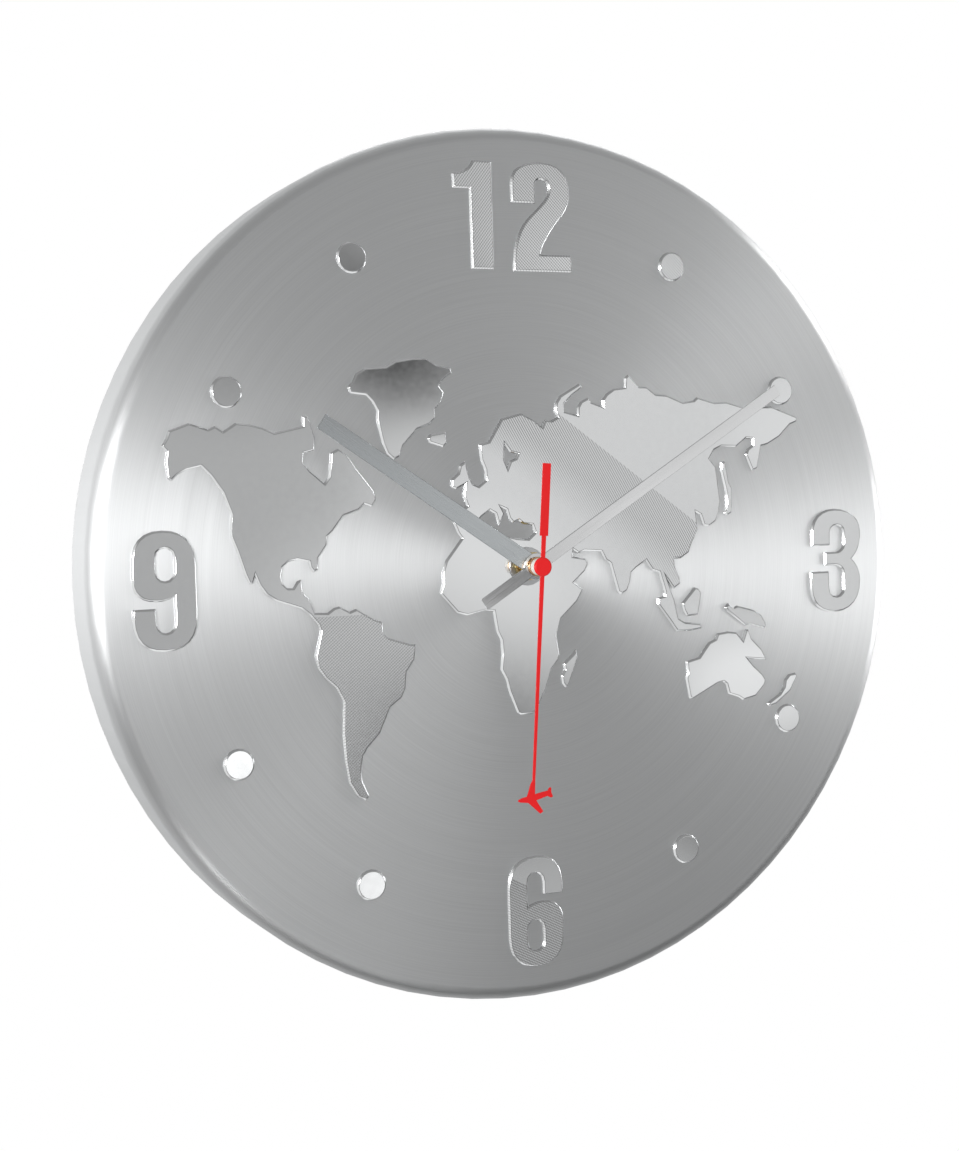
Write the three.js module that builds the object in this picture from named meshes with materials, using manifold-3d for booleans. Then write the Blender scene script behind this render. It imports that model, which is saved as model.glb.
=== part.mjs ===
// World map wall clock: a spun aluminium dish that carries a raised polished world map, raised hour
// marks, three hands and a battery quartz movement with its whole wheel train.
// Millimetres. The clock is drawn facing +z with +y up and z measured from the wall. At the end it
// is turned so that +Z is up and the dial looks along -Y, with the origin where the nail meets the wall.
import * as THREE from "three";
import { mergeVertices } from "three/addons/utils/BufferGeometryUtils.js";
import Module from "manifold-3d";

const wasm = await Module();
wasm.setup();

// Dish
const DISH_RADIUS = 176.5;
const DISH_DEPTH = 31;
const DISH_SHEET = 1.2;
const DISH_CORNER = 6;

// Raised pieces on the dial
const RELIEF = 1.2;
const SHOULDER_WIDTH = 0.7;
const DOT_RADIUS = 6.2;
const DOT_MARGIN = 29.3;
const MAP_INSET = 1.9;
const NUMERAL_HEIGHT = 45;
const NUMERAL_UPRIGHT_INSET = 0.5;
const NUMERAL_SIDE_OUTSET = 7.4;
const NUMERAL_SIDE_DROP = 3.4;
const NUMERAL_ONE_OFFSET = 18.85;
const NUMERAL_TWO_OFFSET = 11;

// Hands: the time they show, clockwise from twelve in degrees, and their sizes
const HOUR_ANGLE = 303.9;
const MINUTE_ANGLE = 58.5;
const SECONDS_ANGLE = 184.4;
const HOUR_LENGTH = 105.5;
const HOUR_ROOT_WIDTH = 7.6;
const HOUR_TIP_WIDTH = 6.3;
const HOUR_HUB_RADIUS = 5.2;
const MINUTE_TIP_INSET = 7;
const MINUTE_TAIL = 27;
const MINUTE_WIDTH = 5;
const MINUTE_HUB_RADIUS = 5.4;
const MINUTE_HUB_HEIGHT = 0.5;
const SECONDS_STEM_WIDTH = 1.9;
const SECONDS_STEM_TIP_WIDTH = 1.2;
const SECONDS_PLANE_RADIUS = 92;
const SECONDS_TAIL_START = 12.3;
const SECONDS_TAIL_END = 41.1;
const SECONDS_TAIL_WIDTH = 3.6;
const CAP_RADIUS = 3.8;
const CAP_HEIGHT = 1.3;
const HAND_SHEET = 0.7;
const SECONDS_SHEET = 0.5;
const BUSH_RADIUS = 3.9;
const BUSH_HEIGHT = 0.8;
const SLEEVE_RADIUS = 3.4;

// Height of each hand's underside above the raised pieces
const HOUR_RISE = 6.6;
const MINUTE_RISE = 8.7;
const SECONDS_RISE = 14.4;

// Centre fixing
const BUSHING_WALL = 1.1;
const BUSHING_FLANGE = 1.1;
const BUSHING_PROUD = 1;
const NUT_FLATS = 11;
const NUT_HEIGHT = 2.2;
const WASHER_RADIUS = 7.8;
const WASHER_HEIGHT = 0.5;
const GASKET_RADIUS = 11;
const GASKET_HEIGHT = 1;

// Concentric shafts
const SECONDS_ARBOR_RADIUS = 0.6;
const MINUTE_TUBE_WALL = 0.8;
const HOUR_TUBE_WALL = 0.8;

// Movement case and battery
const CASE_WIDTH = 56;
const CASE_HEIGHT = 56;
const CASE_DEPTH = 16;
const CASE_WALL = 1.2;
const CASE_CORNER = 3;
const CASE_TOP = 26.5;
const COVER_DEPTH = 3;
const BATTERY_RADIUS = 7.1;
const BATTERY_LENGTH = 50.5;
const BATTERY_NUB_RADIUS = 2.7;
const BATTERY_NUB_HEIGHT = 1;
const BATTERY_EDGE = 0.5;
const CONTACT_SHEET = 0.4;
const CONTACT_HEIGHT = 9;
const CONTACT_DEPTH = 8;
const KNOB_RADIUS = 5;
const KNOB_HEIGHT = 2.4;
const KNOB_FLOOR = 0.7;
const KNOB_FLUTES = 20;
const KNOB_FLUTE_DEPTH = 0.3;

// Hanger tab on the back cover, with its keyhole
const TAB_THICKNESS = 2;
const TAB_MARGIN = 4.8;
const TAB_FOOT = 0.5;
const KEYHOLE_SLOT_RADIUS = 2.3;
const KEYHOLE_ENTRY_RADIUS = 4.2;
const KEYHOLE_DROP = 6.8;

// Wheel train: teeth, modules of the four meshes that set a distance, and where each arbor lies
const ROTOR_LEAVES = 8;
const INTERMEDIATE_TEETH = 48;
const INTERMEDIATE_LEAVES = 8;
const SECONDS_TEETH = 40;
const SECONDS_LEAVES = 8;
const THIRD_TEETH = 60;
const THIRD_LEAVES = 8;
const CENTRE_TEETH = 64;
const CANNON_LEAVES = 12;
const MOTION_TEETH = 36;
const MOTION_LEAVES = 10;
const HOUR_TEETH = 40;
const ROTOR_MODULE = 0.3;
const SECONDS_WHEEL_MODULE = 0.36;
const THIRD_WHEEL_MODULE = 0.36;
const MOTION_WHEEL_MODULE = 0.53;
const INTERMEDIATE_BEARING = 100;
const ROTOR_BEARING = 50;
const THIRD_BEARING = 5;
const MOTION_BEARING = 180;
const TOOTH_ADDENDUM = 1;
const TOOTH_DEDENDUM = 1.9;
const WHEEL_THICKNESS = 0.8;
const PINION_OVERHANG = 0.3;
const LAYER_STEP = 1.8;
const ARBOR_RADIUS = 0.5;
const MOTION_ARBOR_RADIUS = 0.9;
const PIVOT_RADIUS = 0.4;
const PIVOT_LENGTH = 0.7;
const BOSS_RADIUS = 1.6;
const MAGNET_RADIUS = 2;
const MAGNET_HEIGHT = 1.8;

// Motor and circuit
const STATOR_LENGTH = 24;
const STATOR_WIDTH = 7.2;
const STATOR_SHEET = 1;
const CORE_SHEET = 0.8;
const CORE_BAR_WIDTH = 1.4;
const CORE_LEG_WIDTH = 3.2;
const CORE_REACH = 7.3;
const BOBBIN_LENGTH = 15;
const BOBBIN_FLANGE_RADIUS = 2.75;
const BOBBIN_FLANGE = 1;
const BOBBIN_WALL = 0.25;
const WINDING_RADIUS = 2.45;
const BOARD_WIDTH = 14;
const BOARD_HEIGHT = 13;
const BOARD_SHEET = 0.8;
const BOARD_STANDOFF = 2.6;
const CRYSTAL_RADIUS = 1;
const CRYSTAL_LENGTH = 6;
const CHIP_RADIUS = 3.2;
const CHIP_HEIGHT = 1.1;
const POST_RADIUS = 1.3;
const PIN_RADIUS = 0.5;

// Clearances
const SEAT_GAP = 0.1;
const RUNNING_GAP = 0.15;
const SLEEVE_GAP = 0.2;
const END_PLAY = 0.2;
const LOOSE_GAP = 0.3;

// How far a cutting tool runs past the surface it opens
const CUTTER_PAST = 1;

// Facets
const DISH_SIDES = 80;
const CORNER_STEPS = 4;
const ROUND_SIDES = 20;
const SMALL_SIDES = 10;
const CURVE_STEPS = 6;
const WELD = 1e-4;

// Places along z, from the wall outwards
const face = DISH_DEPTH;
const faceBack = face - DISH_SHEET;
const raisedBase = face + SEAT_GAP;
const raisedTop = raisedBase + RELIEF;
const washerBase = raisedTop + SEAT_GAP;
const nutBase = washerBase + WASHER_HEIGHT + SEAT_GAP;
const bushingEnd = nutBase + NUT_HEIGHT + BUSHING_PROUD;
const hourUnder = raisedTop + HOUR_RISE;
const minuteUnder = raisedTop + MINUTE_RISE;
const secondsUnder = raisedTop + SECONDS_RISE;
const gasketBase = faceBack - SEAT_GAP - GASKET_HEIGHT;
const caseFront = gasketBase - SEAT_GAP;
const caseRear = caseFront - CASE_DEPTH;
const caseInnerFront = caseFront - CASE_WALL;
const coverInner = caseRear + CASE_WALL;
const coverSeam = caseRear + COVER_DEPTH;

// Places over the dial: the dots keep their margin to the edge, and the map, the numerals and the
// tip of the minute hand follow the circle of the dots
const dotCircle = DISH_RADIUS - DOT_MARGIN - DOT_RADIUS;
const mapWidth = 2 * (dotCircle - MAP_INSET);
const numeralUpright = dotCircle - NUMERAL_UPRIGHT_INSET;
const numeralSide = dotCircle + NUMERAL_SIDE_OUTSET;
const minuteLength = dotCircle - MINUTE_TIP_INSET;

// Radii about the hands' axis
const minuteBore = SECONDS_ARBOR_RADIUS + SLEEVE_GAP;
const minuteTube = minuteBore + MINUTE_TUBE_WALL;
const hourBore = minuteTube + SLEEVE_GAP;
const hourTube = hourBore + HOUR_TUBE_WALL;
const bushingBore = hourTube + SLEEVE_GAP;
const bushingRadius = bushingBore + BUSHING_WALL;
const fixingHole = bushingRadius + LOOSE_GAP;
const bushingFlange = bushingRadius + BUSHING_FLANGE;

// Places across the case
const caseBottom = CASE_TOP - CASE_HEIGHT;
const caseHalf = CASE_WIDTH / 2;
const innerHalf = caseHalf - CASE_WALL;
const bayFloor = caseBottom + CASE_WALL;
const batteryY = bayFloor + BATTERY_RADIUS + SLEEVE_GAP;
const bayTop = batteryY + BATTERY_RADIUS + SLEEVE_GAP;
const chamberFloor = bayTop + CASE_WALL;
const chamberTop = CASE_TOP - CASE_WALL;
const batteryZ = caseInnerFront - SEAT_GAP - BATTERY_RADIUS;
const tabHalf = KEYHOLE_ENTRY_RADIUS + TAB_MARGIN;
const entryHeight = CASE_TOP + TAB_FOOT + KEYHOLE_ENTRY_RADIUS;
const hangHeight = entryHeight + KEYHOLE_DROP;

// Layers of the wheel train, each the underside of a wheel, from the front of the case to the back
const hourLayer = caseInnerFront - END_PLAY - WHEEL_THICKNESS - PINION_OVERHANG;
const motionLayer = hourLayer - LAYER_STEP;
const centreLayer = motionLayer - LAYER_STEP;
const thirdLayer = centreLayer - LAYER_STEP;
const secondsLayer = thirdLayer - LAYER_STEP;
const intermediateLayer = secondsLayer - LAYER_STEP;

// Centre distances fix the modules of the second mesh on each arbor
const thirdDistance = ((SECONDS_LEAVES + THIRD_TEETH) * THIRD_WHEEL_MODULE) / 2;
const centreModule = (2 * thirdDistance) / (THIRD_LEAVES + CENTRE_TEETH);
const motionDistance = ((CANNON_LEAVES + MOTION_TEETH) * MOTION_WHEEL_MODULE) / 2;
const hourModule = (2 * motionDistance) / (MOTION_LEAVES + HOUR_TEETH);
const intermediateDistance = ((INTERMEDIATE_LEAVES + SECONDS_TEETH) * SECONDS_WHEEL_MODULE) / 2;
const rotorDistance = ((ROTOR_LEAVES + INTERMEDIATE_TEETH) * ROTOR_MODULE) / 2;

// Arbor places in the plane of the dial
const handsAxis = new THREE.Vector2(0, 0);
const thirdAxis = polar(thirdDistance, radians(THIRD_BEARING));
const motionAxis = polar(motionDistance, radians(MOTION_BEARING));
const intermediateAxis = polar(intermediateDistance, radians(INTERMEDIATE_BEARING));
const rotorAxis = polar(rotorDistance, radians(ROTOR_BEARING)).add(intermediateAxis);

// Finishes: colour, roughness and metalness
const BRUSHED = [0xb4b6b6, 0.38, 1];
const POLISHED = [0xc9cbcc, 0.12, 1];
const SATIN = [0xaeb2b5, 0.3, 1];
const BRASS = [0xc9a24e, 0.3, 1];
const COPPER = [0xb87a4a, 0.35, 1];
const STEEL = [0x8f9396, 0.35, 1];
const RED = [0xd8141c, 0.35, 0];
const WHITE_PLASTIC = [0xe8e4da, 0.45, 0];
const BLACK_PLASTIC = [0x1c1d1f, 0.55, 0];
const WHEEL_PLASTIC = [0xe9e6dc, 0.5, 0];
const RUBBER = [0x242424, 0.85, 0];
const BATTERY_JACKET = [0x3b4046, 0.4, 0.3];
const BOARD_GREEN = [0x1f5a38, 0.5, 0];
const MAGNET_GREY = [0x55585c, 0.5, 0.6];

function radians(degrees) {
  return (degrees * Math.PI) / 180;
}

function polar(radius, angle) {
  return new THREE.Vector2(radius * Math.cos(angle), radius * Math.sin(angle));
}

function material([color, roughness, metalness]) {
  return new THREE.MeshStandardMaterial({ color, roughness, metalness });
}

function addPiece(group, name, geometry, finish) {
  const mesh = new THREE.Mesh(geometry, material(finish));
  mesh.name = name;
  group.add(mesh);
  return mesh;
}

// Turns a closed or axis-to-axis profile of [radius, z] pairs about the z axis.
function turned(profile, sides = ROUND_SIDES) {
  const points = profile.map(([radius, z]) => new THREE.Vector2(radius, z));
  return new THREE.LatheGeometry(points, sides).rotateX(Math.PI / 2);
}

function rod(radius, from, to, sides = SMALL_SIDES) {
  const profile = [
    [0, from],
    [radius, from],
    [radius, to],
    [0, to],
  ];
  return turned(profile, sides);
}

function tube(inner, outer, from, to, sides = ROUND_SIDES) {
  const profile = [
    [inner, from],
    [outer, from],
    [outer, to],
    [inner, to],
    [inner, from],
  ];
  return turned(profile, sides);
}

function prism(shape, from, to) {
  const options = { depth: to - from, bevelEnabled: false, curveSegments: CURVE_STEPS };
  return new THREE.ExtrudeGeometry(shape, options).translate(0, 0, from);
}

function block(low, high) {
  const size = new THREE.Vector3().subVectors(high, low);
  const middle = new THREE.Vector3().addVectors(high, low).multiplyScalar(0.5);
  return new THREE.BoxGeometry(size.x, size.y, size.z).translate(middle.x, middle.y, middle.z);
}

function vector(x, y, z) {
  return new THREE.Vector3(x, y, z);
}

function shapeOf(pairs) {
  return new THREE.Shape(pairs.map(([x, y]) => new THREE.Vector2(x, y)));
}

// A panel with rounded top and bottom corners, each pair with its own radius.
function panelShape(left, bottom, right, top, topRadius = 0, bottomRadius = 0) {
  const shape = new THREE.Shape();
  const corner = (x, y, radius, from) => {
    if (radius > 0) shape.absarc(x, y, radius, from, from + Math.PI / 2);
    else shape.lineTo(x, y);
  };
  shape.moveTo(left + bottomRadius, bottom);
  corner(right - bottomRadius, bottom + bottomRadius, bottomRadius, -Math.PI / 2);
  corner(right - topRadius, top - topRadius, topRadius, 0);
  corner(left + topRadius, top - topRadius, topRadius, Math.PI / 2);
  if (bottomRadius > 0) corner(left + bottomRadius, bottom + bottomRadius, bottomRadius, Math.PI);
  return shape;
}

function circlePath(x, y, radius) {
  return new THREE.Path().absarc(x, y, radius, 0, 2 * Math.PI);
}

// Booleans
function toSolid(geometry) {
  const bare = new THREE.BufferGeometry();
  bare.setAttribute("position", geometry.getAttribute("position"));
  bare.setIndex(geometry.index);
  const merged = mergeVertices(bare, WELD);
  const vertProperties = merged.getAttribute("position").array;
  const triVerts = new Uint32Array(merged.index.array);
  return new wasm.Manifold(new wasm.Mesh({ numProp: 3, vertProperties, triVerts }));
}

function toGeometry(solid) {
  const mesh = solid.getMesh();
  const geometry = new THREE.BufferGeometry();
  geometry.setAttribute("position", new THREE.BufferAttribute(mesh.vertProperties, mesh.numProp));
  geometry.setIndex(new THREE.BufferAttribute(mesh.triVerts, 1));
  const flat = geometry.toNonIndexed();
  flat.computeVertexNormals();
  return flat;
}

function join(...geometries) {
  return toGeometry(geometries.map(toSolid).reduce((whole, piece) => whole.add(piece)));
}

function cut(geometry, ...tools) {
  return toGeometry(tools.map(toSolid).reduce((whole, tool) => whole.subtract(tool), toSolid(geometry)));
}

// Raised pieces: a sloping shoulder from the dial up to a flat top.

// Moves every edge of a loop to its left, which shrinks a counter-clockwise outline and widens a
// clockwise hole.
function inset(loop, distance) {
  return loop.map((point, i) => {
    const before = loop[(i + loop.length - 1) % loop.length];
    const after = loop[(i + 1) % loop.length];
    const inward = point.clone().sub(before).normalize();
    const outward = after.clone().sub(point).normalize();
    const left = new THREE.Vector2(-inward.y - outward.y, inward.x + outward.x);
    const stretch = distance / (1 + inward.dot(outward));
    return point.clone().addScaledVector(left, stretch);
  });
}

function openLoop(points) {
  const closed = points[0].distanceTo(points[points.length - 1]) < WELD;
  return closed ? points.slice(0, -1) : points;
}

function wound(points, clockwise) {
  const loop = openLoop(points);
  return THREE.ShapeUtils.isClockWise(loop) === clockwise ? loop : loop.reverse();
}

function raisedPlate(shape) {
  const { shape: outline, holes } = shape.extractPoints(CURVE_STEPS);
  const loops = [wound(outline, false), ...holes.map((hole) => wound(hole, true))];
  const tops = loops.map((loop) => inset(loop, SHOULDER_WIDTH));
  const positions = [];
  const corner = (point, z) => positions.push(point.x, point.y, z);
  const cap = (rings, z, order) => {
    const points = rings.flat();
    for (const triangle of THREE.ShapeUtils.triangulateShape(rings[0], rings.slice(1))) {
      for (const i of order) corner(points[triangle[i]], z);
    }
  };
  cap(loops, 0, [0, 2, 1]);
  loops.forEach((loop, ring) => {
    const top = tops[ring];
    loop.forEach((point, i) => {
      const next = (i + 1) % loop.length;
      corner(point, 0);
      corner(loop[next], 0);
      corner(top[next], RELIEF);
      corner(point, 0);
      corner(top[next], RELIEF);
      corner(top[i], RELIEF);
    });
  });
  cap(tops, RELIEF, [0, 1, 2]);
  const geometry = new THREE.BufferGeometry();
  geometry.setAttribute("position", new THREE.Float32BufferAttribute(positions, 3));
  geometry.computeVertexNormals();
  return geometry;
}

// Coastlines, drawn with the hands' axis at 0, 0 and scaled to the width of the map
const AMERICAS = [
  [-147.8, 50.4], [-145.8, 53.5], [-144.8, 56.2], [-137, 59], [-129.8, 56.6], [-127, 57.8],
  [-124, 55.8], [-119, 58.9], [-113.5, 58.3], [-108.5, 57], [-104, 55], [-92.8, 57.4], [-92.8, 61.4],
  [-90.2, 61.4], [-87.6, 52.5], [-88.2, 48], [-92.4, 47], [-92.8, 43.5], [-90, 40], [-84.6, 35.4],
  [-82.6, 38], [-81.8, 47], [-78.5, 48.6], [-75, 46.3], [-71.5, 41], [-64.5, 32.2], [-63.4, 28.6],
  [-65.4, 25.6], [-68.6, 26.8], [-70.8, 24.6], [-77.3, 22.4], [-81.7, 16.8], [-84, 14.8], [-84.4, 11.4],
  [-88, 6.6], [-88.2, 2.2], [-90, 1], [-91.6, 3], [-92, 5.2], [-96.5, 6.3], [-100, 5.6], [-102.4, 3.6],
  [-103, 0.3], [-102.6, -2.6], [-100.6, -4.4], [-98.6, -4.4], [-96.8, -1.8], [-95, -1.2], [-94.6, -6.4],
  [-92, -8.8], [-90, -14.3], [-85, -14.6], [-82.3, -12.8], [-80, -12.3], [-76, -14.6], [-73.2, -13.6],
  [-66.8, -17.6], [-62.4, -19.4], [-62.3, -23.8], [-60.2, -25.7], [-51, -28.7], [-48.6, -28.8],
  [-49.6, -35], [-53, -39.6], [-53.6, -46], [-55.4, -49.6], [-60.2, -53], [-64.8, -62.8], [-70.4, -68.5],
  [-72.2, -71.5], [-73, -76], [-72.8, -81], [-70, -87.2], [-71.6, -88.8], [-75, -87], [-78.4, -81.5],
  [-79.7, -73], [-80.3, -62], [-79.7, -49.5], [-82.5, -44], [-86.8, -40], [-89.6, -36], [-90.6, -31],
  [-88.3, -21.8], [-89, -19.3], [-92.3, -15.2], [-95.6, -12.6], [-105.5, -9.2], [-109.3, -6.7],
  [-112, -3], [-113.4, 0.4], [-114.2, -2.2], [-115.8, -2.4], [-117.5, 1.5], [-120.3, 10.3],
  [-122.7, 16.4], [-122.1, 24.5], [-125, 32.5], [-129.5, 39], [-133, 42.6], [-138.5, 41.4],
  [-142, 39.6], [-144.4, 37.4], [-146, 38.4], [-146.6, 44], [-146, 48.4],
];
const GREENLAND = [
  [-55.8, 43.8], [-58.6, 46.2], [-60.2, 50], [-62.6, 59.5], [-62.2, 63], [-64, 66.4], [-66.5, 69],
  [-73, 69.8], [-74, 72.3], [-71.8, 74.4], [-70.4, 77.4], [-66.5, 79.6], [-58, 80.2], [-54, 82.4],
  [-47, 83.6], [-41, 83.8], [-36.5, 81], [-30.6, 80], [-30, 77.6], [-33.6, 75.2], [-35.6, 72.6],
  [-33.6, 70], [-35.2, 65.8], [-37.7, 63.3], [-37.6, 60], [-40.2, 57.5], [-45.5, 55.6], [-51.6, 49.2],
  [-53.2, 45],
];
const ICELAND = [
  [-41.6, 52], [-40.2, 53.6], [-33.4, 54.7], [-33, 50.2], [-34.6, 48.4], [-40.4, 50.2],
];
const EURASIA_AND_AFRICA = [
  [-19.4, 49.4], [-15.2, 50.4], [-9.4, 59.5], [-0.5, 61.7], [5, 59], [8.6, 56.2], [9.8, 58.9], [13, 58.6],
  [15.6, 60], [14.4, 62.6], [15, 65.8], [17, 68.6], [26, 73.6], [27.6, 72], [22.6, 68.6], [19, 65.2],
  [19.2, 62.2], [24.6, 60.8], [24.8, 63.8], [26.4, 66.2], [30, 67.9], [31.2, 66], [36.4, 64.2],
  [36.2, 66.8], [38.2, 69.2], [41.5, 71.4], [46.6, 72], [47, 76], [48.8, 77.4], [53.5, 72.4], [57, 72.3],
  [61.2, 69.2], [66.5, 68.8], [74, 65.8], [79.3, 66.5], [81, 67.9], [89, 65.7], [95, 65.9], [103.5, 63.6],
  [117.5, 63.8], [130.4, 59.2], [130, 57], [126.5, 55.8], [121, 50.6], [115, 47.4], [112, 46.8],
  [109.8, 37.4], [107, 36.2], [103.8, 43.4], [105, 45.8], [107.6, 47.4], [107.4, 50], [104.4, 50.2],
  [99.5, 46.6], [92, 46.9], [88.6, 45.4], [86.4, 42], [89.4, 38.5], [91.2, 24], [90.2, 18.5], [88.6, 15.4],
  [85.4, 13.4], [82.6, 13.8], [81, 18.4], [79.2, 19.4], [80, 12], [76.4, 5.6], [75.4, 2.8], [71.4, 0.3],
  [68.4, 0.4], [68.4, -2.5], [70.6, -7.2], [71, -10.2], [67.4, -12.3], [65.2, -9.4], [68, -17],
  [69.6, -24.6], [72.5, -26.4], [80.4, -27.4], [80.8, -29.6], [75, -30.3], [68.4, -30.2], [65, -25.4],
  [59.6, -18.4], [59.8, -15.6], [62.8, -15], [63.1, -13.2], [60.6, -5], [57.4, -4], [54.6, 0], [50, -2.8],
  [47.9, -4.6], [47, -8.8], [45.6, -12], [43, -13.4], [41.2, -12.4], [37.8, -0.4], [35.6, 1.1],
  [33.8, 4.6], [26.2, 5.2], [23.4, 4.2], [21.4, 5.6], [21, 3.2], [26.8, 2.2], [28, 0], [26.4, -3],
  [21.4, -7.4], [25.4, -10.4], [22.5, -15.2], [15, -22], [12.7, -28.6], [13.8, -36.4], [13.1, -38.8],
  [10, -42.5], [7.4, -50], [3, -58.6], [0.7, -60], [-4.4, -60], [-5.9, -59], [-9.4, -50], [-10.5, -45.2],
  [-12.6, -41.2], [-11.9, -35], [-12.2, -29.4], [-14, -25.6], [-15.2, -17.6], [-18.8, -17.2],
  [-26.5, -18.7], [-31, -17.4], [-38.2, -9.2], [-36.8, -5.5], [-37, -1.5], [-35.2, 3.6], [-28.2, 12.2],
  [-29.6, 14], [-31.4, 18.2], [-30.5, 21.5], [-25.4, 25], [-27, 29.4], [-26, 33.4], [-29.8, 31.6],
  [-32, 32.6], [-31.8, 35.6], [-28.9, 38], [-28, 41.2], [-25.4, 43], [-23.7, 36.2], [-22.4, 33.8],
  [-20, 32.7], [-16.9, 35], [-17.2, 39.4], [-18.8, 43.2],
];
const MEDITERRANEAN = [
  [-22, 17.5], [-19, 20.5], [-15.5, 22.8], [-13.2, 21.5], [-11.6, 16], [-9, 21.5], [-10.2, 23.8],
  [-8.3, 23], [-7.3, 19.5], [-5.5, 17.5], [-3, 18.5], [-1, 17], [3, 16.5], [4, 13.5], [1, 11],
  [-4, 11.5], [-12, 13.5], [-17, 14], [-21, 15],
];
const BALTIC = [
  [-8, 48.8], [-5.8, 46], [-2.6, 45.2], [-3.4, 43.6], [-6, 42.6], [-7.2, 40], [-8.4, 43],
];
const MADAGASCAR = [
  [21.4, -34.6], [22, -38.6], [17.5, -49.6], [16.1, -50.4], [14.6, -48.6], [14.1, -45.4], [15.7, -42.9],
  [15.3, -40.4], [19.3, -37.1],
];
const AUSTRALIA = [
  [72.6, -43], [78.8, -41.6], [81.6, -38.1], [83.8, -35.6], [86.9, -34.4], [88, -32], [93.1, -31.4],
  [97.5, -32], [100.3, -35.3], [102, -31], [103.6, -31], [105, -35], [110, -40], [112.4, -44.8],
  [103.1, -43.7], [105.6, -46.6], [110, -50.6], [111.6, -53.1], [110.9, -55.3], [106.3, -60],
  [100, -61.3], [97.5, -59.7], [92.8, -58.1], [91.6, -53.8], [90.3, -52.8], [87.5, -53.4], [75.6, -59.1],
  [73.8, -58.8], [72.2, -50], [73.1, -48.1],
];
const NEW_GUINEA = [
  [91.8, -21.2], [93.8, -19.3], [96.6, -21.3], [98.1, -20.6], [106.3, -22.8], [110, -25], [112.5, -29.4],
  [111.6, -31.3], [104.4, -29.1], [101.9, -29.4], [93.1, -23.1],
];
const BORNEO = [
  [71.2, -18.4], [77.5, -11.9], [79.6, -12.4], [80.9, -14.4], [79.1, -23.8], [73.4, -24.1], [72, -21.6],
];
const NEW_ZEALAND = [
  [111.8, -63.4], [112.6, -65], [116.3, -64.1], [123.8, -58.8], [127.6, -52.4], [126.6, -51],
  [123.1, -51.6], [120.9, -53.8], [120.3, -56.9], [118.1, -59.7],
];
const JAPAN = [
  [91.8, 40.4], [94, 40.8], [95.6, 32], [97, 29.4], [96.6, 18.8], [94.4, 17.6], [92.6, 18.6], [93.8, 22.4],
  [93.8, 27.5], [91.6, 36.6],
];

const drawnX = [...AMERICAS, ...EURASIA_AND_AFRICA].map(([x]) => x);
const mapScale = mapWidth / (Math.max(...drawnX) - Math.min(...drawnX));

function mapPoints(coast) {
  return coast.map(([x, y]) => new THREE.Vector2(x * mapScale, y * mapScale));
}

function mapShape(coast) {
  return new THREE.Shape(mapPoints(coast));
}

// Numerals, each drawn about its own middle on a grid of 45 units to the height
const numeralUnit = NUMERAL_HEIGHT / 45;

function drawOne() {
  const shape = new THREE.Shape();
  shape.moveTo(-8.6, 10.2);
  shape.lineTo(-8.6, 16.2);
  shape.quadraticCurveTo(-1.7, 16.6, 0.1, 21.5);
  shape.lineTo(8.6, 21.5);
  shape.lineTo(8.6, -21.5);
  shape.lineTo(-1.4, -21.5);
  shape.lineTo(-1.4, 10.2);
  return shape;
}

function drawTwo() {
  const shape = new THREE.Shape();
  shape.moveTo(-13.2, 5.4);
  shape.lineTo(-13.2, 13.5);
  shape.bezierCurveTo(-13.2, 19.3, -7.5, 22, 0.5, 22);
  shape.bezierCurveTo(8.5, 22, 13, 17.5, 13, 10.5);
  shape.bezierCurveTo(13, 6.5, 11.8, 3, 8.5, -0.2);
  shape.bezierCurveTo(5.5, -3.8, 0.8, -9.5, -0.8, -15);
  shape.lineTo(13.2, -15);
  shape.lineTo(13.2, -22);
  shape.lineTo(-13, -22);
  shape.bezierCurveTo(-13, -14.5, -11.8, -8.5, -8, -3);
  shape.bezierCurveTo(-5, 1.4, 3.6, 6.4, 3.4, 11);
  shape.bezierCurveTo(3.3, 13.6, 2, 15, -0.3, 15);
  shape.bezierCurveTo(-1.8, 15, -2.4, 13.8, -2.4, 12);
  shape.lineTo(-2.4, 5.4);
  return shape;
}

function drawThree() {
  const shape = new THREE.Shape();
  shape.moveTo(-12.4, 6.5);
  shape.lineTo(-12.4, 12);
  shape.bezierCurveTo(-12.4, 18, -8, 22.6, -0.5, 22.6);
  shape.bezierCurveTo(8, 22.6, 13.3, 18.6, 13.3, 12.1);
  shape.bezierCurveTo(13.3, 6.6, 11.3, 2.8, 8.6, 0.5);
  shape.bezierCurveTo(11.2, -1.7, 12.8, -4.7, 12.8, -8.9);
  shape.bezierCurveTo(12.8, -17.4, 7.5, -22.6, -0.5, -22.6);
  shape.bezierCurveTo(-8.5, -22.6, -13.2, -18.4, -13.2, -11.9);
  shape.lineTo(-13.2, -4.5);
  shape.lineTo(-3.4, -4.5);
  shape.lineTo(-3.4, -12);
  shape.bezierCurveTo(-3.4, -16.7, 3.5, -16.7, 3.5, -12);
  shape.lineTo(3.5, -5.7);
  shape.bezierCurveTo(3.5, -3.4, 1.3, -2.1, -1, -2.1);
  shape.lineTo(-5.8, -2.1);
  shape.lineTo(-5.8, 3.8);
  shape.lineTo(0, 3.8);
  shape.bezierCurveTo(2.3, 3.8, 4, 5.3, 4, 7.5);
  shape.lineTo(4, 12);
  shape.bezierCurveTo(4, 16.3, -2.6, 16.3, -2.6, 12);
  shape.lineTo(-2.6, 6.5);
  return shape;
}

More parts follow.
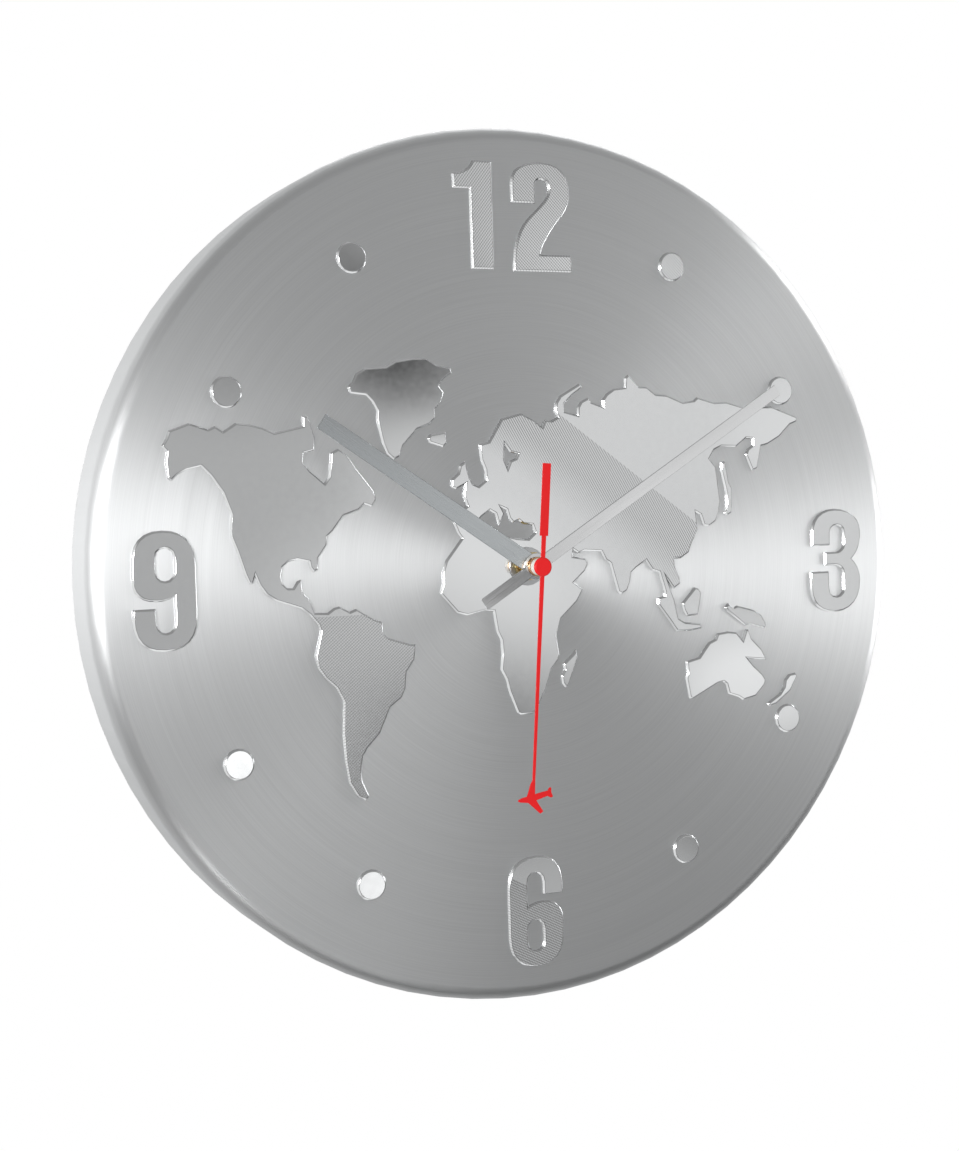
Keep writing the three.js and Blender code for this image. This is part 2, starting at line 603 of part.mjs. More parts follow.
function drawNine() {
  const shape = new THREE.Shape();
  shape.moveTo(-12.3, 9.7);
  shape.bezierCurveTo(-12.3, 18.2, -8.3, 22.7, -0.3, 22.7);
  shape.bezierCurveTo(7.7, 22.7, 12.4, 18.2, 12.4, 9.7);
  shape.lineTo(12.4, -9.9);
  shape.bezierCurveTo(12.4, -18.4, 7.7, -22.7, -0.3, -22.7);
  shape.bezierCurveTo(-8.3, -22.7, -12.4, -18.4, -12.4, -9.9);
  shape.lineTo(-12.4, -6.4);
  shape.lineTo(-3.3, -6.4);
  shape.lineTo(-3.3, -11.8);
  shape.bezierCurveTo(-3.3, -16.9, 3.5, -16.9, 3.5, -11.8);
  shape.lineTo(3.5, -2.4);
  shape.bezierCurveTo(1.2, -3.8, -1, -4, -3.3, -4);
  shape.bezierCurveTo(-8.8, -4, -12.3, -0.9, -12.3, 4.1);
  const eye = new THREE.Path();
  eye.moveTo(-3, 7.2);
  eye.lineTo(-3, 12.4);
  eye.bezierCurveTo(-3, 17, 3.8, 17, 3.8, 12.4);
  eye.lineTo(3.8, 7.2);
  eye.bezierCurveTo(3.8, 2.6, -3, 2.6, -3, 7.2);
  shape.holes.push(eye);
  return shape;
}

function addMap(dial) {
  const eurasia = mapShape(EURASIA_AND_AFRICA);
  for (const sea of [MEDITERRANEAN, BALTIC]) eurasia.holes.push(new THREE.Path(mapPoints(sea)));
  eurasia.holes.push(circlePath(0, 0, fixingHole + LOOSE_GAP));
  const lands = {
    americas: mapShape(AMERICAS),
    greenland: mapShape(GREENLAND),
    iceland: mapShape(ICELAND),
    eurasia_and_africa: eurasia,
    madagascar: mapShape(MADAGASCAR),
    australia: mapShape(AUSTRALIA),
    new_guinea: mapShape(NEW_GUINEA),
    borneo: mapShape(BORNEO),
    new_zealand: mapShape(NEW_ZEALAND),
    japan: mapShape(JAPAN),
  };
  for (const [name, shape] of Object.entries(lands)) {
    addPiece(dial, `map_${name}`, raisedPlate(shape), POLISHED).position.z = raisedBase;
  }
}

function addNumeral(dial, name, shape, x, y, turn = 0) {
  const { shape: outline, holes } = shape.extractPoints(CURVE_STEPS);
  const place = (point) => point.clone().multiplyScalar(numeralUnit);
  const sized = new THREE.Shape(openLoop(outline).map(place));
  sized.holes = holes.map((hole) => new THREE.Path(openLoop(hole).map(place)));
  const mesh = addPiece(dial, name, raisedPlate(sized), POLISHED);
  mesh.position.set(x, y, raisedBase);
  mesh.rotation.z = turn;
}

function addHourMarks(dial) {
  addNumeral(dial, "numeral_12_one", drawOne(), -NUMERAL_ONE_OFFSET, numeralUpright);
  addNumeral(dial, "numeral_12_two", drawTwo(), NUMERAL_TWO_OFFSET, numeralUpright);
  addNumeral(dial, "numeral_3", drawThree(), numeralSide, -NUMERAL_SIDE_DROP);
  addNumeral(dial, "numeral_6", drawNine(), 0, -numeralUpright, Math.PI);
  addNumeral(dial, "numeral_9", drawNine(), -numeralSide, -NUMERAL_SIDE_DROP);
  const dotProfile = [
    [0, 0],
    [DOT_RADIUS, 0],
    [DOT_RADIUS - SHOULDER_WIDTH, RELIEF],
    [0, RELIEF],
  ];
  for (const hour of [1, 2, 4, 5, 7, 8, 10, 11]) {
    const place = polar(dotCircle, radians(90 - 30 * hour));
    const dot = addPiece(dial, `hour_dot_${hour}`, turned(dotProfile), POLISHED);
    dot.position.set(place.x, place.y, raisedBase);
  }
}

// A shallow spun dish, open to the wall, with a rounded corner between its face and its side.
function dishProfile() {
  const arc = (radius, from, to) => {
    const points = [];
    for (let i = 0; i <= CORNER_STEPS; i++) {
      const angle = radians(from + ((to - from) * i) / CORNER_STEPS);
      points.push([
        DISH_RADIUS - DISH_CORNER + radius * Math.cos(angle),
        face - DISH_CORNER + radius * Math.sin(angle),
      ]);
    }
    return points;
  };
  return [
    [fixingHole, faceBack],
    ...arc(DISH_CORNER - DISH_SHEET, 90, 0),
    [DISH_RADIUS - DISH_SHEET, 0],
    [DISH_RADIUS, 0],
    ...arc(DISH_CORNER, 0, 90),
    [fixingHole, face],
    [fixingHole, faceBack],
  ];
}

// Centre fixing: a threaded bushing through case and dial, with its gasket, washer and nut.
function addFixing(clock) {
  const flangeBase = caseInnerFront + SEAT_GAP;
  const flangeTop = caseFront - SEAT_GAP;
  const bushingProfile = [
    [bushingBore, flangeBase],
    [bushingFlange, flangeBase],
    [bushingFlange, flangeTop],
    [bushingRadius, flangeTop],
    [bushingRadius, bushingEnd],
    [bushingBore, bushingEnd],
    [bushingBore, flangeBase],
  ];
  addPiece(clock, "threaded_bushing", turned(bushingProfile), BRASS);
  const gasket = tube(fixingHole, GASKET_RADIUS, gasketBase, gasketBase + GASKET_HEIGHT);
  addPiece(clock, "rubber_gasket", gasket, RUBBER);
  const washer = tube(bushingRadius + SLEEVE_GAP, WASHER_RADIUS, washerBase, washerBase + WASHER_HEIGHT);
  addPiece(clock, "fixing_washer", washer, STEEL);
  const nutCorner = NUT_FLATS / Math.sqrt(3);
  const hexagon = [];
  for (let i = 0; i < 6; i++) hexagon.push(polar(nutCorner, radians(60 * i)));
  const nutShape = new THREE.Shape(hexagon);
  nutShape.holes.push(circlePath(0, 0, bushingRadius + SLEEVE_GAP));
  addPiece(clock, "fixing_nut", prism(nutShape, nutBase, nutBase + NUT_HEIGHT), BRASS);
}

// Hands, drawn pointing up and turned by their group.
function hourHand() {
  const top = hourUnder + HAND_SHEET;
  const bore = hourTube + RUNNING_GAP;
  const blade = shapeOf([
    [-HOUR_ROOT_WIDTH / 2, 0],
    [HOUR_ROOT_WIDTH / 2, 0],
    [HOUR_TIP_WIDTH / 2, HOUR_LENGTH],
    [-HOUR_TIP_WIDTH / 2, HOUR_LENGTH],
  ]);
  const hub = [
    [bore, bushingEnd + LOOSE_GAP],
    [bore + HAND_SHEET, bushingEnd + LOOSE_GAP],
    [bore + HAND_SHEET, hourUnder],
    [HOUR_HUB_RADIUS, hourUnder],
    [HOUR_HUB_RADIUS, top],
    [HOUR_HUB_RADIUS - HAND_SHEET, top + HAND_SHEET / 2],
    [bore, top + HAND_SHEET],
    [bore, bushingEnd + LOOSE_GAP],
  ];
  const opening = rod(bore, bushingEnd, top + HAND_SHEET, ROUND_SIDES);
  return join(turned(hub), cut(prism(blade, hourUnder, top), opening));
}

function minuteHand() {
  const half = MINUTE_WIDTH / 2;
  const top = minuteUnder + HAND_SHEET;
  const hubBase = minuteUnder - MINUTE_HUB_HEIGHT;
  const blade = prism(panelShape(-half, -MINUTE_TAIL, half, minuteLength), minuteUnder, top);
  const hub = rod(MINUTE_HUB_RADIUS, hubBase, minuteUnder + HAND_SHEET / 2, ROUND_SIDES);
  const bore = rod(minuteTube + RUNNING_GAP, hubBase - CUTTER_PAST, top + CUTTER_PAST, ROUND_SIDES);
  return cut(join(blade, hub), bore);
}

// The end of the seconds hand: an airliner seen from above, flying clockwise. Points are measured
// from the middle of its body, x along the clockwise direction and y outwards.
const PLANE_LEADING_SIDE = [
  [1.4, -5.7], [2.7, -0.8], [5, -0.2], [6.4, 0.5], [6.5, 1.2], [5.4, 1.5], [2, 1.7], [-3.4, 6],
];
const PLANE_TRAILING_SIDE = [
  [-4.7, 5.1], [-1.4, 0.7], [-6.2, -1], [-7.9, -0.3], [-8.7, -0.8], [-7.9, -2.4], [-7.7, -4.4],
  [-6.9, -4.4], [-6.3, -3.2], [-0.7, -1.8],
];
const PLANE_INNER_WING = 7.4;

function secondsHand() {
  const root = SECONDS_STEM_WIDTH / 2;
  const tip = SECONDS_STEM_TIP_WIDTH / 2;
  const tail = SECONDS_TAIL_WIDTH / 2;
  const wingTip = SECONDS_PLANE_RADIUS - PLANE_INNER_WING;
  const outward = ([x, y]) => [x, y + SECONDS_PLANE_RADIUS];
  const blade = shapeOf([
    [root, 0],
    [tip, wingTip],
    ...PLANE_LEADING_SIDE.map(outward),
    ...PLANE_TRAILING_SIDE.map(outward),
    [-tip, wingTip],
    [-root, 0],
    [-root, -SECONDS_TAIL_START],
    [-tail, -SECONDS_TAIL_START],
    [-tail, -SECONDS_TAIL_END],
    [tail, -SECONDS_TAIL_END],
    [tail, -SECONDS_TAIL_START],
    [root, -SECONDS_TAIL_START],
  ]);
  const capTop = secondsUnder + CAP_HEIGHT;
  const cap = [
    [0, secondsUnder],
    [CAP_RADIUS, secondsUnder],
    [CAP_RADIUS, capTop - SECONDS_SHEET],
    [CAP_RADIUS - SECONDS_SHEET, capTop],
    [0, capTop],
  ];
  const bore = rod(SECONDS_ARBOR_RADIUS + RUNNING_GAP, secondsUnder - CUTTER_PAST, capTop - HAND_SHEET);
  return cut(join(turned(cap), prism(blade, secondsUnder, secondsUnder + SECONDS_SHEET)), bore);
}

function handGroup(clock, angle) {
  const group = new THREE.Group();
  group.rotation.z = -radians(angle);
  clock.add(group);
  return group;
}

function addHands(clock) {
  addPiece(handGroup(clock, HOUR_ANGLE), "hour_hand", hourHand(), SATIN);
  const minuteGroup = handGroup(clock, MINUTE_ANGLE);
  addPiece(minuteGroup, "minute_hand", minuteHand(), SATIN);
  const bushBase = minuteUnder + HAND_SHEET + SEAT_GAP;
  const bushTop = bushBase + BUSH_HEIGHT;
  const bush = tube(minuteTube + RUNNING_GAP, BUSH_RADIUS, bushBase, bushTop);
  addPiece(minuteGroup, "minute_hand_bush", bush, COPPER);
  const secondsGroup = handGroup(clock, SECONDS_ANGLE);
  addPiece(secondsGroup, "seconds_hand", secondsHand(), RED);
  const sleeveBore = SECONDS_ARBOR_RADIUS + RUNNING_GAP;
  const sleeve = tube(sleeveBore, SLEEVE_RADIUS, bushTop + END_PLAY, secondsUnder - SEAT_GAP);
  addPiece(secondsGroup, "seconds_hand_sleeve", sleeve, WHITE_PLASTIC);
}

// Wheel train

// Pointed clock teeth with deep roots. One tooth is centred on toothAngle.
function gearShape(teeth, module, toothAngle) {
  const pitchRadius = (teeth * module) / 2;
  const pitch = (2 * Math.PI) / teeth;
  const points = [];
  for (let i = 0; i < teeth; i++) {
    const middle = toothAngle + i * pitch;
    points.push(polar(pitchRadius - TOOTH_DEDENDUM * module, middle - pitch / 2));
    points.push(polar(pitchRadius + TOOTH_ADDENDUM * module, middle));
  }
  return new THREE.Shape(points);
}

// The tooth angle that puts a gap, not a tooth, towards a neighbour.
function gapTowards(teeth, angle) {
  return angle + Math.PI / teeth;
}

function bearing(from, to) {
  return to.clone().sub(from).angle();
}

function wheel(teeth, module, toothAngle, layer) {
  return prism(gearShape(teeth, module, toothAngle), layer, layer + WHEEL_THICKNESS);
}

function pinion(leaves, module, toothAngle, layer) {
  const shape = gearShape(leaves, module, toothAngle);
  return prism(shape, layer - PINION_OVERHANG, layer + WHEEL_THICKNESS + PINION_OVERHANG);
}

// A turned arbor with a thinner pivot at each end.
function arbor(radius, from, to) {
  const profile = [
    [0, from],
    [PIVOT_RADIUS, from],
    [PIVOT_RADIUS, from + PIVOT_LENGTH],
    [radius, from + PIVOT_LENGTH],
    [radius, to - PIVOT_LENGTH],
    [PIVOT_RADIUS, to - PIVOT_LENGTH],
    [PIVOT_RADIUS, to],
    [0, to],
  ];
  return turned(profile, SMALL_SIDES);
}

function arborGroup(clock, axis) {
  const group = new THREE.Group();
  group.position.set(axis.x, axis.y, 0);
  clock.add(group);
  return group;
}

// Heights of the bosses that carry the rear pivots, and of the boss for the rotor's front pivot
const rotorBossTop = intermediateLayer - PINION_OVERHANG - END_PLAY;
const intermediateBossTop = intermediateLayer - END_PLAY;
const secondsBossTop = intermediateLayer - LOOSE_GAP - END_PLAY;
const thirdBossTop = secondsLayer - PINION_OVERHANG;
const magnetBase = secondsLayer - LOOSE_GAP - END_PLAY;
const rotorFrontBoss = magnetBase + MAGNET_HEIGHT + END_PLAY;
const pivotSocket = PIVOT_LENGTH + END_PLAY;
const stemEnd = secondsUnder + CAP_HEIGHT - HAND_SHEET - END_PLAY;
const knobTop = caseRear - LOOSE_GAP;
const knobBase = knobTop - KNOB_HEIGHT;
const knobSeat = knobBase + KNOB_FLOOR;

function rotor() {
  const towards = bearing(rotorAxis, intermediateAxis);
  const leaves = pinion(ROTOR_LEAVES, ROTOR_MODULE, towards, intermediateLayer);
  const shaft = arbor(ARBOR_RADIUS, rotorBossTop - PIVOT_LENGTH, rotorFrontBoss + PIVOT_LENGTH);
  const magnet = rod(MAGNET_RADIUS, magnetBase, magnetBase + MAGNET_HEIGHT, ROUND_SIDES);
  return join(leaves, shaft, magnet);
}

// The intermediate wheel runs on a fixed stud of the back cover.
function intermediateWheel() {
  const toRotor = gapTowards(INTERMEDIATE_TEETH, bearing(intermediateAxis, rotorAxis));
  const toSeconds = bearing(intermediateAxis, handsAxis);
  const disc = wheel(INTERMEDIATE_TEETH, ROTOR_MODULE, toRotor, intermediateLayer);
  const hub = rod(ARBOR_RADIUS + RUNNING_GAP + SLEEVE_GAP, intermediateLayer, secondsLayer);
  const leaves = pinion(INTERMEDIATE_LEAVES, SECONDS_WHEEL_MODULE, toSeconds, secondsLayer);
  const bore = rod(PIVOT_RADIUS + RUNNING_GAP, intermediateLayer - CUTTER_PAST, secondsLayer + LAYER_STEP);
  return cut(join(disc, hub, leaves), bore);
}

function secondsWheel() {
  const toIntermediate = gapTowards(SECONDS_TEETH, bearing(handsAxis, intermediateAxis));
  const disc = wheel(SECONDS_TEETH, SECONDS_WHEEL_MODULE, toIntermediate, secondsLayer);
  const toThird = bearing(handsAxis, thirdAxis);
  const leaves = pinion(SECONDS_LEAVES, THIRD_WHEEL_MODULE, toThird, thirdLayer);
  const rear = arbor(SECONDS_ARBOR_RADIUS, secondsBossTop - PIVOT_LENGTH, thirdLayer);
  const stem = rod(SECONDS_ARBOR_RADIUS, secondsLayer, stemEnd);
  return join(disc, leaves, rear, stem);
}

function thirdWheel() {
  const toSeconds = gapTowards(THIRD_TEETH, bearing(thirdAxis, handsAxis));
  const disc = wheel(THIRD_TEETH, THIRD_WHEEL_MODULE, toSeconds, thirdLayer);
  const leaves = pinion(THIRD_LEAVES, centreModule, bearing(thirdAxis, handsAxis), centreLayer);
  const shaft = arbor(ARBOR_RADIUS, thirdBossTop - PIVOT_LENGTH, caseInnerFront + PIVOT_LENGTH - END_PLAY);
  return join(disc, leaves, shaft);
}

function centreWheel() {
  const toThird = gapTowards(CENTRE_TEETH, bearing(handsAxis, thirdAxis));
  const disc = wheel(CENTRE_TEETH, centreModule, toThird, centreLayer);
  const hub = rod(2 * minuteTube, centreLayer - PINION_OVERHANG, centreLayer + WHEEL_THICKNESS, ROUND_SIDES);
  const bore = rod(minuteTube + RUNNING_GAP, centreLayer - CUTTER_PAST, motionLayer, ROUND_SIDES);
  return cut(join(disc, hub), bore);
}

// The cannon pinion's long tube carries the minute hand; the centre wheel grips its tail.
function cannonPinion() {
  const leaves = pinion(CANNON_LEAVES, MOTION_WHEEL_MODULE, bearing(handsAxis, motionAxis), motionLayer);
  const tubeEnd = minuteUnder + HAND_SHEET + BUSH_HEIGHT;
  const body = rod(minuteTube, centreLayer - PINION_OVERHANG, tubeEnd, ROUND_SIDES);
  const bore = rod(minuteBore, centreLayer - CUTTER_PAST, tubeEnd + CUTTER_PAST, ROUND_SIDES);
  return cut(join(leaves, body), bore);
}

function motionWheel() {
  const toAxis = bearing(motionAxis, handsAxis);
  const disc = wheel(MOTION_TEETH, MOTION_WHEEL_MODULE, gapTowards(MOTION_TEETH, toAxis), motionLayer);
  const leaves = pinion(MOTION_LEAVES, hourModule, toAxis, hourLayer);
  const front = arbor(MOTION_ARBOR_RADIUS, motionLayer, caseInnerFront + PIVOT_LENGTH - END_PLAY);
  const stem = rod(MOTION_ARBOR_RADIUS, knobSeat + SEAT_GAP, motionLayer + WHEEL_THICKNESS);
  return join(disc, leaves, front, stem);
}

function hourWheel() {
  const toMotion = gapTowards(HOUR_TEETH, bearing(handsAxis, motionAxis));
  const disc = wheel(HOUR_TEETH, hourModule, toMotion, hourLayer);
  const tubeEnd = hourUnder + 2 * HAND_SHEET;
  const body = rod(hourTube, hourLayer, tubeEnd, ROUND_SIDES);
  const bore = rod(hourBore, hourLayer - CUTTER_PAST, tubeEnd + CUTTER_PAST, ROUND_SIDES);
  return cut(join(disc, body), bore);
}

function settingKnob() {
  const points = [];
  for (let i = 0; i < 2 * KNOB_FLUTES; i++) {
    const radius = KNOB_RADIUS - (i % 2) * KNOB_FLUTE_DEPTH;
    points.push(polar(radius, (Math.PI * i) / KNOB_FLUTES));
  }
  const bore = rod(MOTION_ARBOR_RADIUS + RUNNING_GAP, knobSeat, knobTop + CUTTER_PAST);
  return cut(prism(new THREE.Shape(points), knobBase, knobTop), bore);
}

function addTrain(clock) {
  addPiece(arborGroup(clock, rotorAxis), "motor_rotor", rotor(), MAGNET_GREY);
  addPiece(arborGroup(clock, intermediateAxis), "intermediate_wheel", intermediateWheel(), WHEEL_PLASTIC);
  addPiece(clock, "seconds_wheel", secondsWheel(), STEEL);
  addPiece(arborGroup(clock, thirdAxis), "third_wheel", thirdWheel(), WHEEL_PLASTIC);
  addPiece(clock, "centre_wheel", centreWheel(), WHEEL_PLASTIC);
  addPiece(clock, "cannon_pinion", cannonPinion(), BRASS);
  const motionGroup = arborGroup(clock, motionAxis);
  addPiece(motionGroup, "motion_wheel", motionWheel(), WHEEL_PLASTIC);
  addPiece(motionGroup, "setting_knob", settingKnob(), BLACK_PLASTIC);
  addPiece(clock, "hour_wheel", hourWheel(), BRASS);
}

// Stepping motor and circuit, carried on posts of the back cover
const statorBase = magnetBase + (MAGNET_HEIGHT - STATOR_SHEET) / 2;
const coreBase = statorBase + STATOR_SHEET + SEAT_GAP;
const coreTop = coreBase + CORE_SHEET;
const statorMiddle = rotorAxis;
const coreBarY = statorMiddle.y + CORE_REACH;
const coreBarZ = (coreBase + coreTop) / 2;
const legOffset = (STATOR_LENGTH - CORE_LEG_WIDTH) / 2;
const pinY = statorMiddle.y + STATOR_WIDTH / 4;
const boardBase = coverInner + BOARD_STANDOFF;
const boardRight = -innerHalf + LOOSE_GAP + BOARD_WIDTH;
const boardTop = chamberTop - LOOSE_GAP;
const boardPins = [
  [boardRight - BOARD_WIDTH + 2 * POST_RADIUS, boardTop - BOARD_HEIGHT + 2 * POST_RADIUS],
  [boardRight - 2 * POST_RADIUS, boardTop - 2 * POST_RADIUS],
];
const motorPins = [
  [statorMiddle.x - legOffset, pinY],
  [statorMiddle.x + legOffset, pinY],
];

function pinHoles(shape, pins) {
  for (const [x, y] of pins) shape.holes.push(circlePath(x, y, PIN_RADIUS + RUNNING_GAP));
  return shape;
}

function stator() {
  const { x, y } = statorMiddle;
  const halfLength = STATOR_LENGTH / 2;
  const halfWidth = STATOR_WIDTH / 2;
  const shape = panelShape(x - halfLength, y - halfWidth, x + halfLength, y + halfWidth);
  shape.holes.push(circlePath(x, y, MAGNET_RADIUS + 2 * LOOSE_GAP));
  return prism(pinHoles(shape, motorPins), statorBase, statorBase + STATOR_SHEET);
}

// A flat staple: a bar through the bobbin and two legs that lie on the ends of the stator.
function coilCore() {
  const { x, y } = statorMiddle;
  const half = STATOR_LENGTH / 2;
  const inner = half - CORE_LEG_WIDTH;
  const barTop = coreBarY + CORE_BAR_WIDTH / 2;
  const barBottom = coreBarY - CORE_BAR_WIDTH / 2;
  const shape = shapeOf([
    [x - half, y],
    [x - inner, y],
    [x - inner, barBottom],
    [x + inner, barBottom],
    [x + inner, y],
    [x + half, y],
    [x + half, barTop],
    [x - half, barTop],
  ]);
  return prism(pinHoles(shape, motorPins), coreBase, coreTop);
}

function bobbin() {
  const half = BOBBIN_LENGTH / 2;
  const barrel = Math.hypot(CORE_BAR_WIDTH / 2 + SLEEVE_GAP, CORE_SHEET / 2 + SLEEVE_GAP) + BOBBIN_WALL;
  const profile = [
    [0, -half],
    [BOBBIN_FLANGE_RADIUS, -half],
    [BOBBIN_FLANGE_RADIUS, BOBBIN_FLANGE - half],
    [barrel, BOBBIN_FLANGE - half],
    [barrel, half - BOBBIN_FLANGE],
    [BOBBIN_FLANGE_RADIUS, half - BOBBIN_FLANGE],
    [BOBBIN_FLANGE_RADIUS, half],
    [0, half],
  ];
  const window = vector(CORE_SHEET / 2 + SLEEVE_GAP, CORE_BAR_WIDTH / 2 + SLEEVE_GAP, BOBBIN_LENGTH);
  return { body: cut(turned(profile), block(window.clone().negate(), window)), barrel };
}

function addMotor(clock) {
  addPiece(clock, "motor_stator", stator(), STEEL);
  addPiece(clock, "coil_core", coilCore(), STEEL);
  const coil = new THREE.Group();
  coil.position.set(statorMiddle.x, coreBarY, coreBarZ);
  coil.rotation.y = Math.PI / 2;
  clock.add(coil);
  const { body, barrel } = bobbin();
  addPiece(coil, "coil_bobbin", body, WHITE_PLASTIC);
  const windingEnd = BOBBIN_LENGTH / 2 - BOBBIN_FLANGE - SEAT_GAP;
  addPiece(coil, "coil_winding", tube(barrel + SEAT_GAP, WINDING_RADIUS, -windingEnd, windingEnd), COPPER);
}

function addCircuit(clock) {
  const left = boardRight - BOARD_WIDTH;
  const bottom = boardTop - BOARD_HEIGHT;
  const top = boardBase + BOARD_SHEET;
  const boardShape = pinHoles(panelShape(left, bottom, boardRight, boardTop), boardPins);
  addPiece(clock, "circuit_board", prism(boardShape, boardBase, top), BOARD_GREEN);
  const crystal = rod(CRYSTAL_RADIUS, 0, CRYSTAL_LENGTH).rotateY(Math.PI / 2);
  const crystalMesh = addPiece(clock, "quartz_crystal", crystal, STEEL);
  crystalMesh.position.set(left + CHIP_HEIGHT, boardTop - 2 * POST_RADIUS, top + SEAT_GAP + CRYSTAL_RADIUS);
  const chipProfile = [
    [0, 0],
    [CHIP_RADIUS, 0],
    [CHIP_RADIUS - CHIP_HEIGHT, (3 * CHIP_HEIGHT) / 4],
    [0, CHIP_HEIGHT],
  ];
  const chip = addPiece(clock, "driver_chip", turned(chipProfile, SMALL_SIDES), BLACK_PLASTIC);
  chip.position.set(boardRight - BOARD_WIDTH / 2, boardTop - BOARD_HEIGHT / 2 - CHIP_HEIGHT, top + SEAT_GAP);
}

// Battery and its two contacts
function battery() {
  const half = BATTERY_LENGTH / 2;
  const shoulder = half - BATTERY_NUB_HEIGHT;
  const profile = [
    [0, -half],
    [BATTERY_RADIUS - BATTERY_EDGE, -half],
    [BATTERY_RADIUS, BATTERY_EDGE - half],
    [BATTERY_RADIUS, shoulder - BATTERY_EDGE],
    [BATTERY_RADIUS - BATTERY_EDGE, shoulder],
    [BATTERY_NUB_RADIUS, shoulder],
    [BATTERY_NUB_RADIUS, half],
    [0, half],
  ];
  return turned(profile).rotateY(Math.PI / 2);
}

// A leaf that lies on the end wall of the bay and bows towards the battery on the given side.
function contact(side) {
  const wall = innerHalf - SEAT_GAP;
  const apex = BATTERY_LENGTH / 2 + SLEEVE_GAP;
  const inner = wall - CONTACT_SHEET;
  const outerApex = apex + CONTACT_SHEET;
  const half = CONTACT_HEIGHT / 2;
  const knee = CONTACT_HEIGHT / 3;
  const crown = CONTACT_HEIGHT / 10;
  const shape = shapeOf([
    [wall, -half],
    [inner, -half],
    [inner, -knee],
    [apex, -crown],
    [apex, crown],
    [inner, knee],
    [inner, half],
    [wall, half],
    [wall, knee],
    [outerApex, crown],
    [outerApex, -crown],
    [wall, -knee],
  ]);
  const leaf = prism(shape, batteryZ - CONTACT_DEPTH / 2, batteryZ + CONTACT_DEPTH / 2);
  const turn = side > 0 ? 0 : Math.PI;
  return leaf.translate(0, 0, -batteryZ).rotateZ(turn).translate(0, batteryY, batteryZ);
}

function addBattery(clock) {
  const cell = addPiece(clock, "battery_aa", battery(), BATTERY_JACKET);
  cell.position.set(0, batteryY, batteryZ);
  addPiece(clock, "contact_positive", contact(1), STEEL);
  addPiece(clock, "contact_negative", contact(-1), STEEL);
}

// Movement case: a front shell with a wheel chamber and an open battery bay, and a back cover over
// the chamber that carries the rear bearings and the hanger tab.
function at(geometry, place) {
  return geometry.translate(place.x, place.y, 0);
}

function frontCase() {
  const outline = panelShape(-caseHalf, caseBottom, caseHalf, CASE_TOP, CASE_CORNER, CASE_CORNER);
  const past = caseRear - CUTTER_PAST;
  const chamberCorner = vector(innerHalf, chamberTop, caseInnerFront);
  const chamber = block(vector(-innerHalf, chamberFloor, past), chamberCorner);
  const bay = block(vector(-innerHalf, bayFloor, past), vector(innerHalf, bayTop, caseInnerFront));
  const coverCorner = vector(caseHalf + CUTTER_PAST, CASE_TOP + CUTTER_PAST, coverSeam);
  const coverSpace = block(vector(-caseHalf - CUTTER_PAST, bayTop, past), coverCorner);
  const shell = cut(prism(outline, caseRear, caseFront), chamber, bay, coverSpace);
  const rotorBoss = at(rod(BOSS_RADIUS, rotorFrontBoss, caseFront - CASE_WALL / 2), rotorAxis);
  const socket = PIVOT_RADIUS + RUNNING_GAP;
  return cut(
    join(shell, rotorBoss),
    rod(bushingFlange + RUNNING_GAP, past, caseFront + CUTTER_PAST, ROUND_SIDES),
    at(rod(socket, rotorFrontBoss - CUTTER_PAST, rotorFrontBoss + pivotSocket), rotorAxis),
    at(rod(socket, past, caseInnerFront + PIVOT_LENGTH), thirdAxis),
    at(rod(socket, past, caseInnerFront + PIVOT_LENGTH), motionAxis),
  );
}

function hangerTab() {
  const shape = new THREE.Shape();
  shape.moveTo(-tabHalf, chamberTop);
  shape.lineTo(tabHalf, chamberTop);
  shape.lineTo(tabHalf, hangHeight);
  shape.absarc(0, hangHeight, tabHalf, 0, Math.PI);
  const neck = Math.asin(KEYHOLE_SLOT_RADIUS / KEYHOLE_ENTRY_RADIUS);
  const keyhole = new THREE.Path();
  keyhole.absarc(0, hangHeight, KEYHOLE_SLOT_RADIUS, 0, Math.PI);
  keyhole.absarc(0, entryHeight, KEYHOLE_ENTRY_RADIUS, Math.PI / 2 + neck, 2.5 * Math.PI - neck);
  shape.holes.push(keyhole);
  return prism(shape, caseRear, caseRear + TAB_THICKNESS);
}

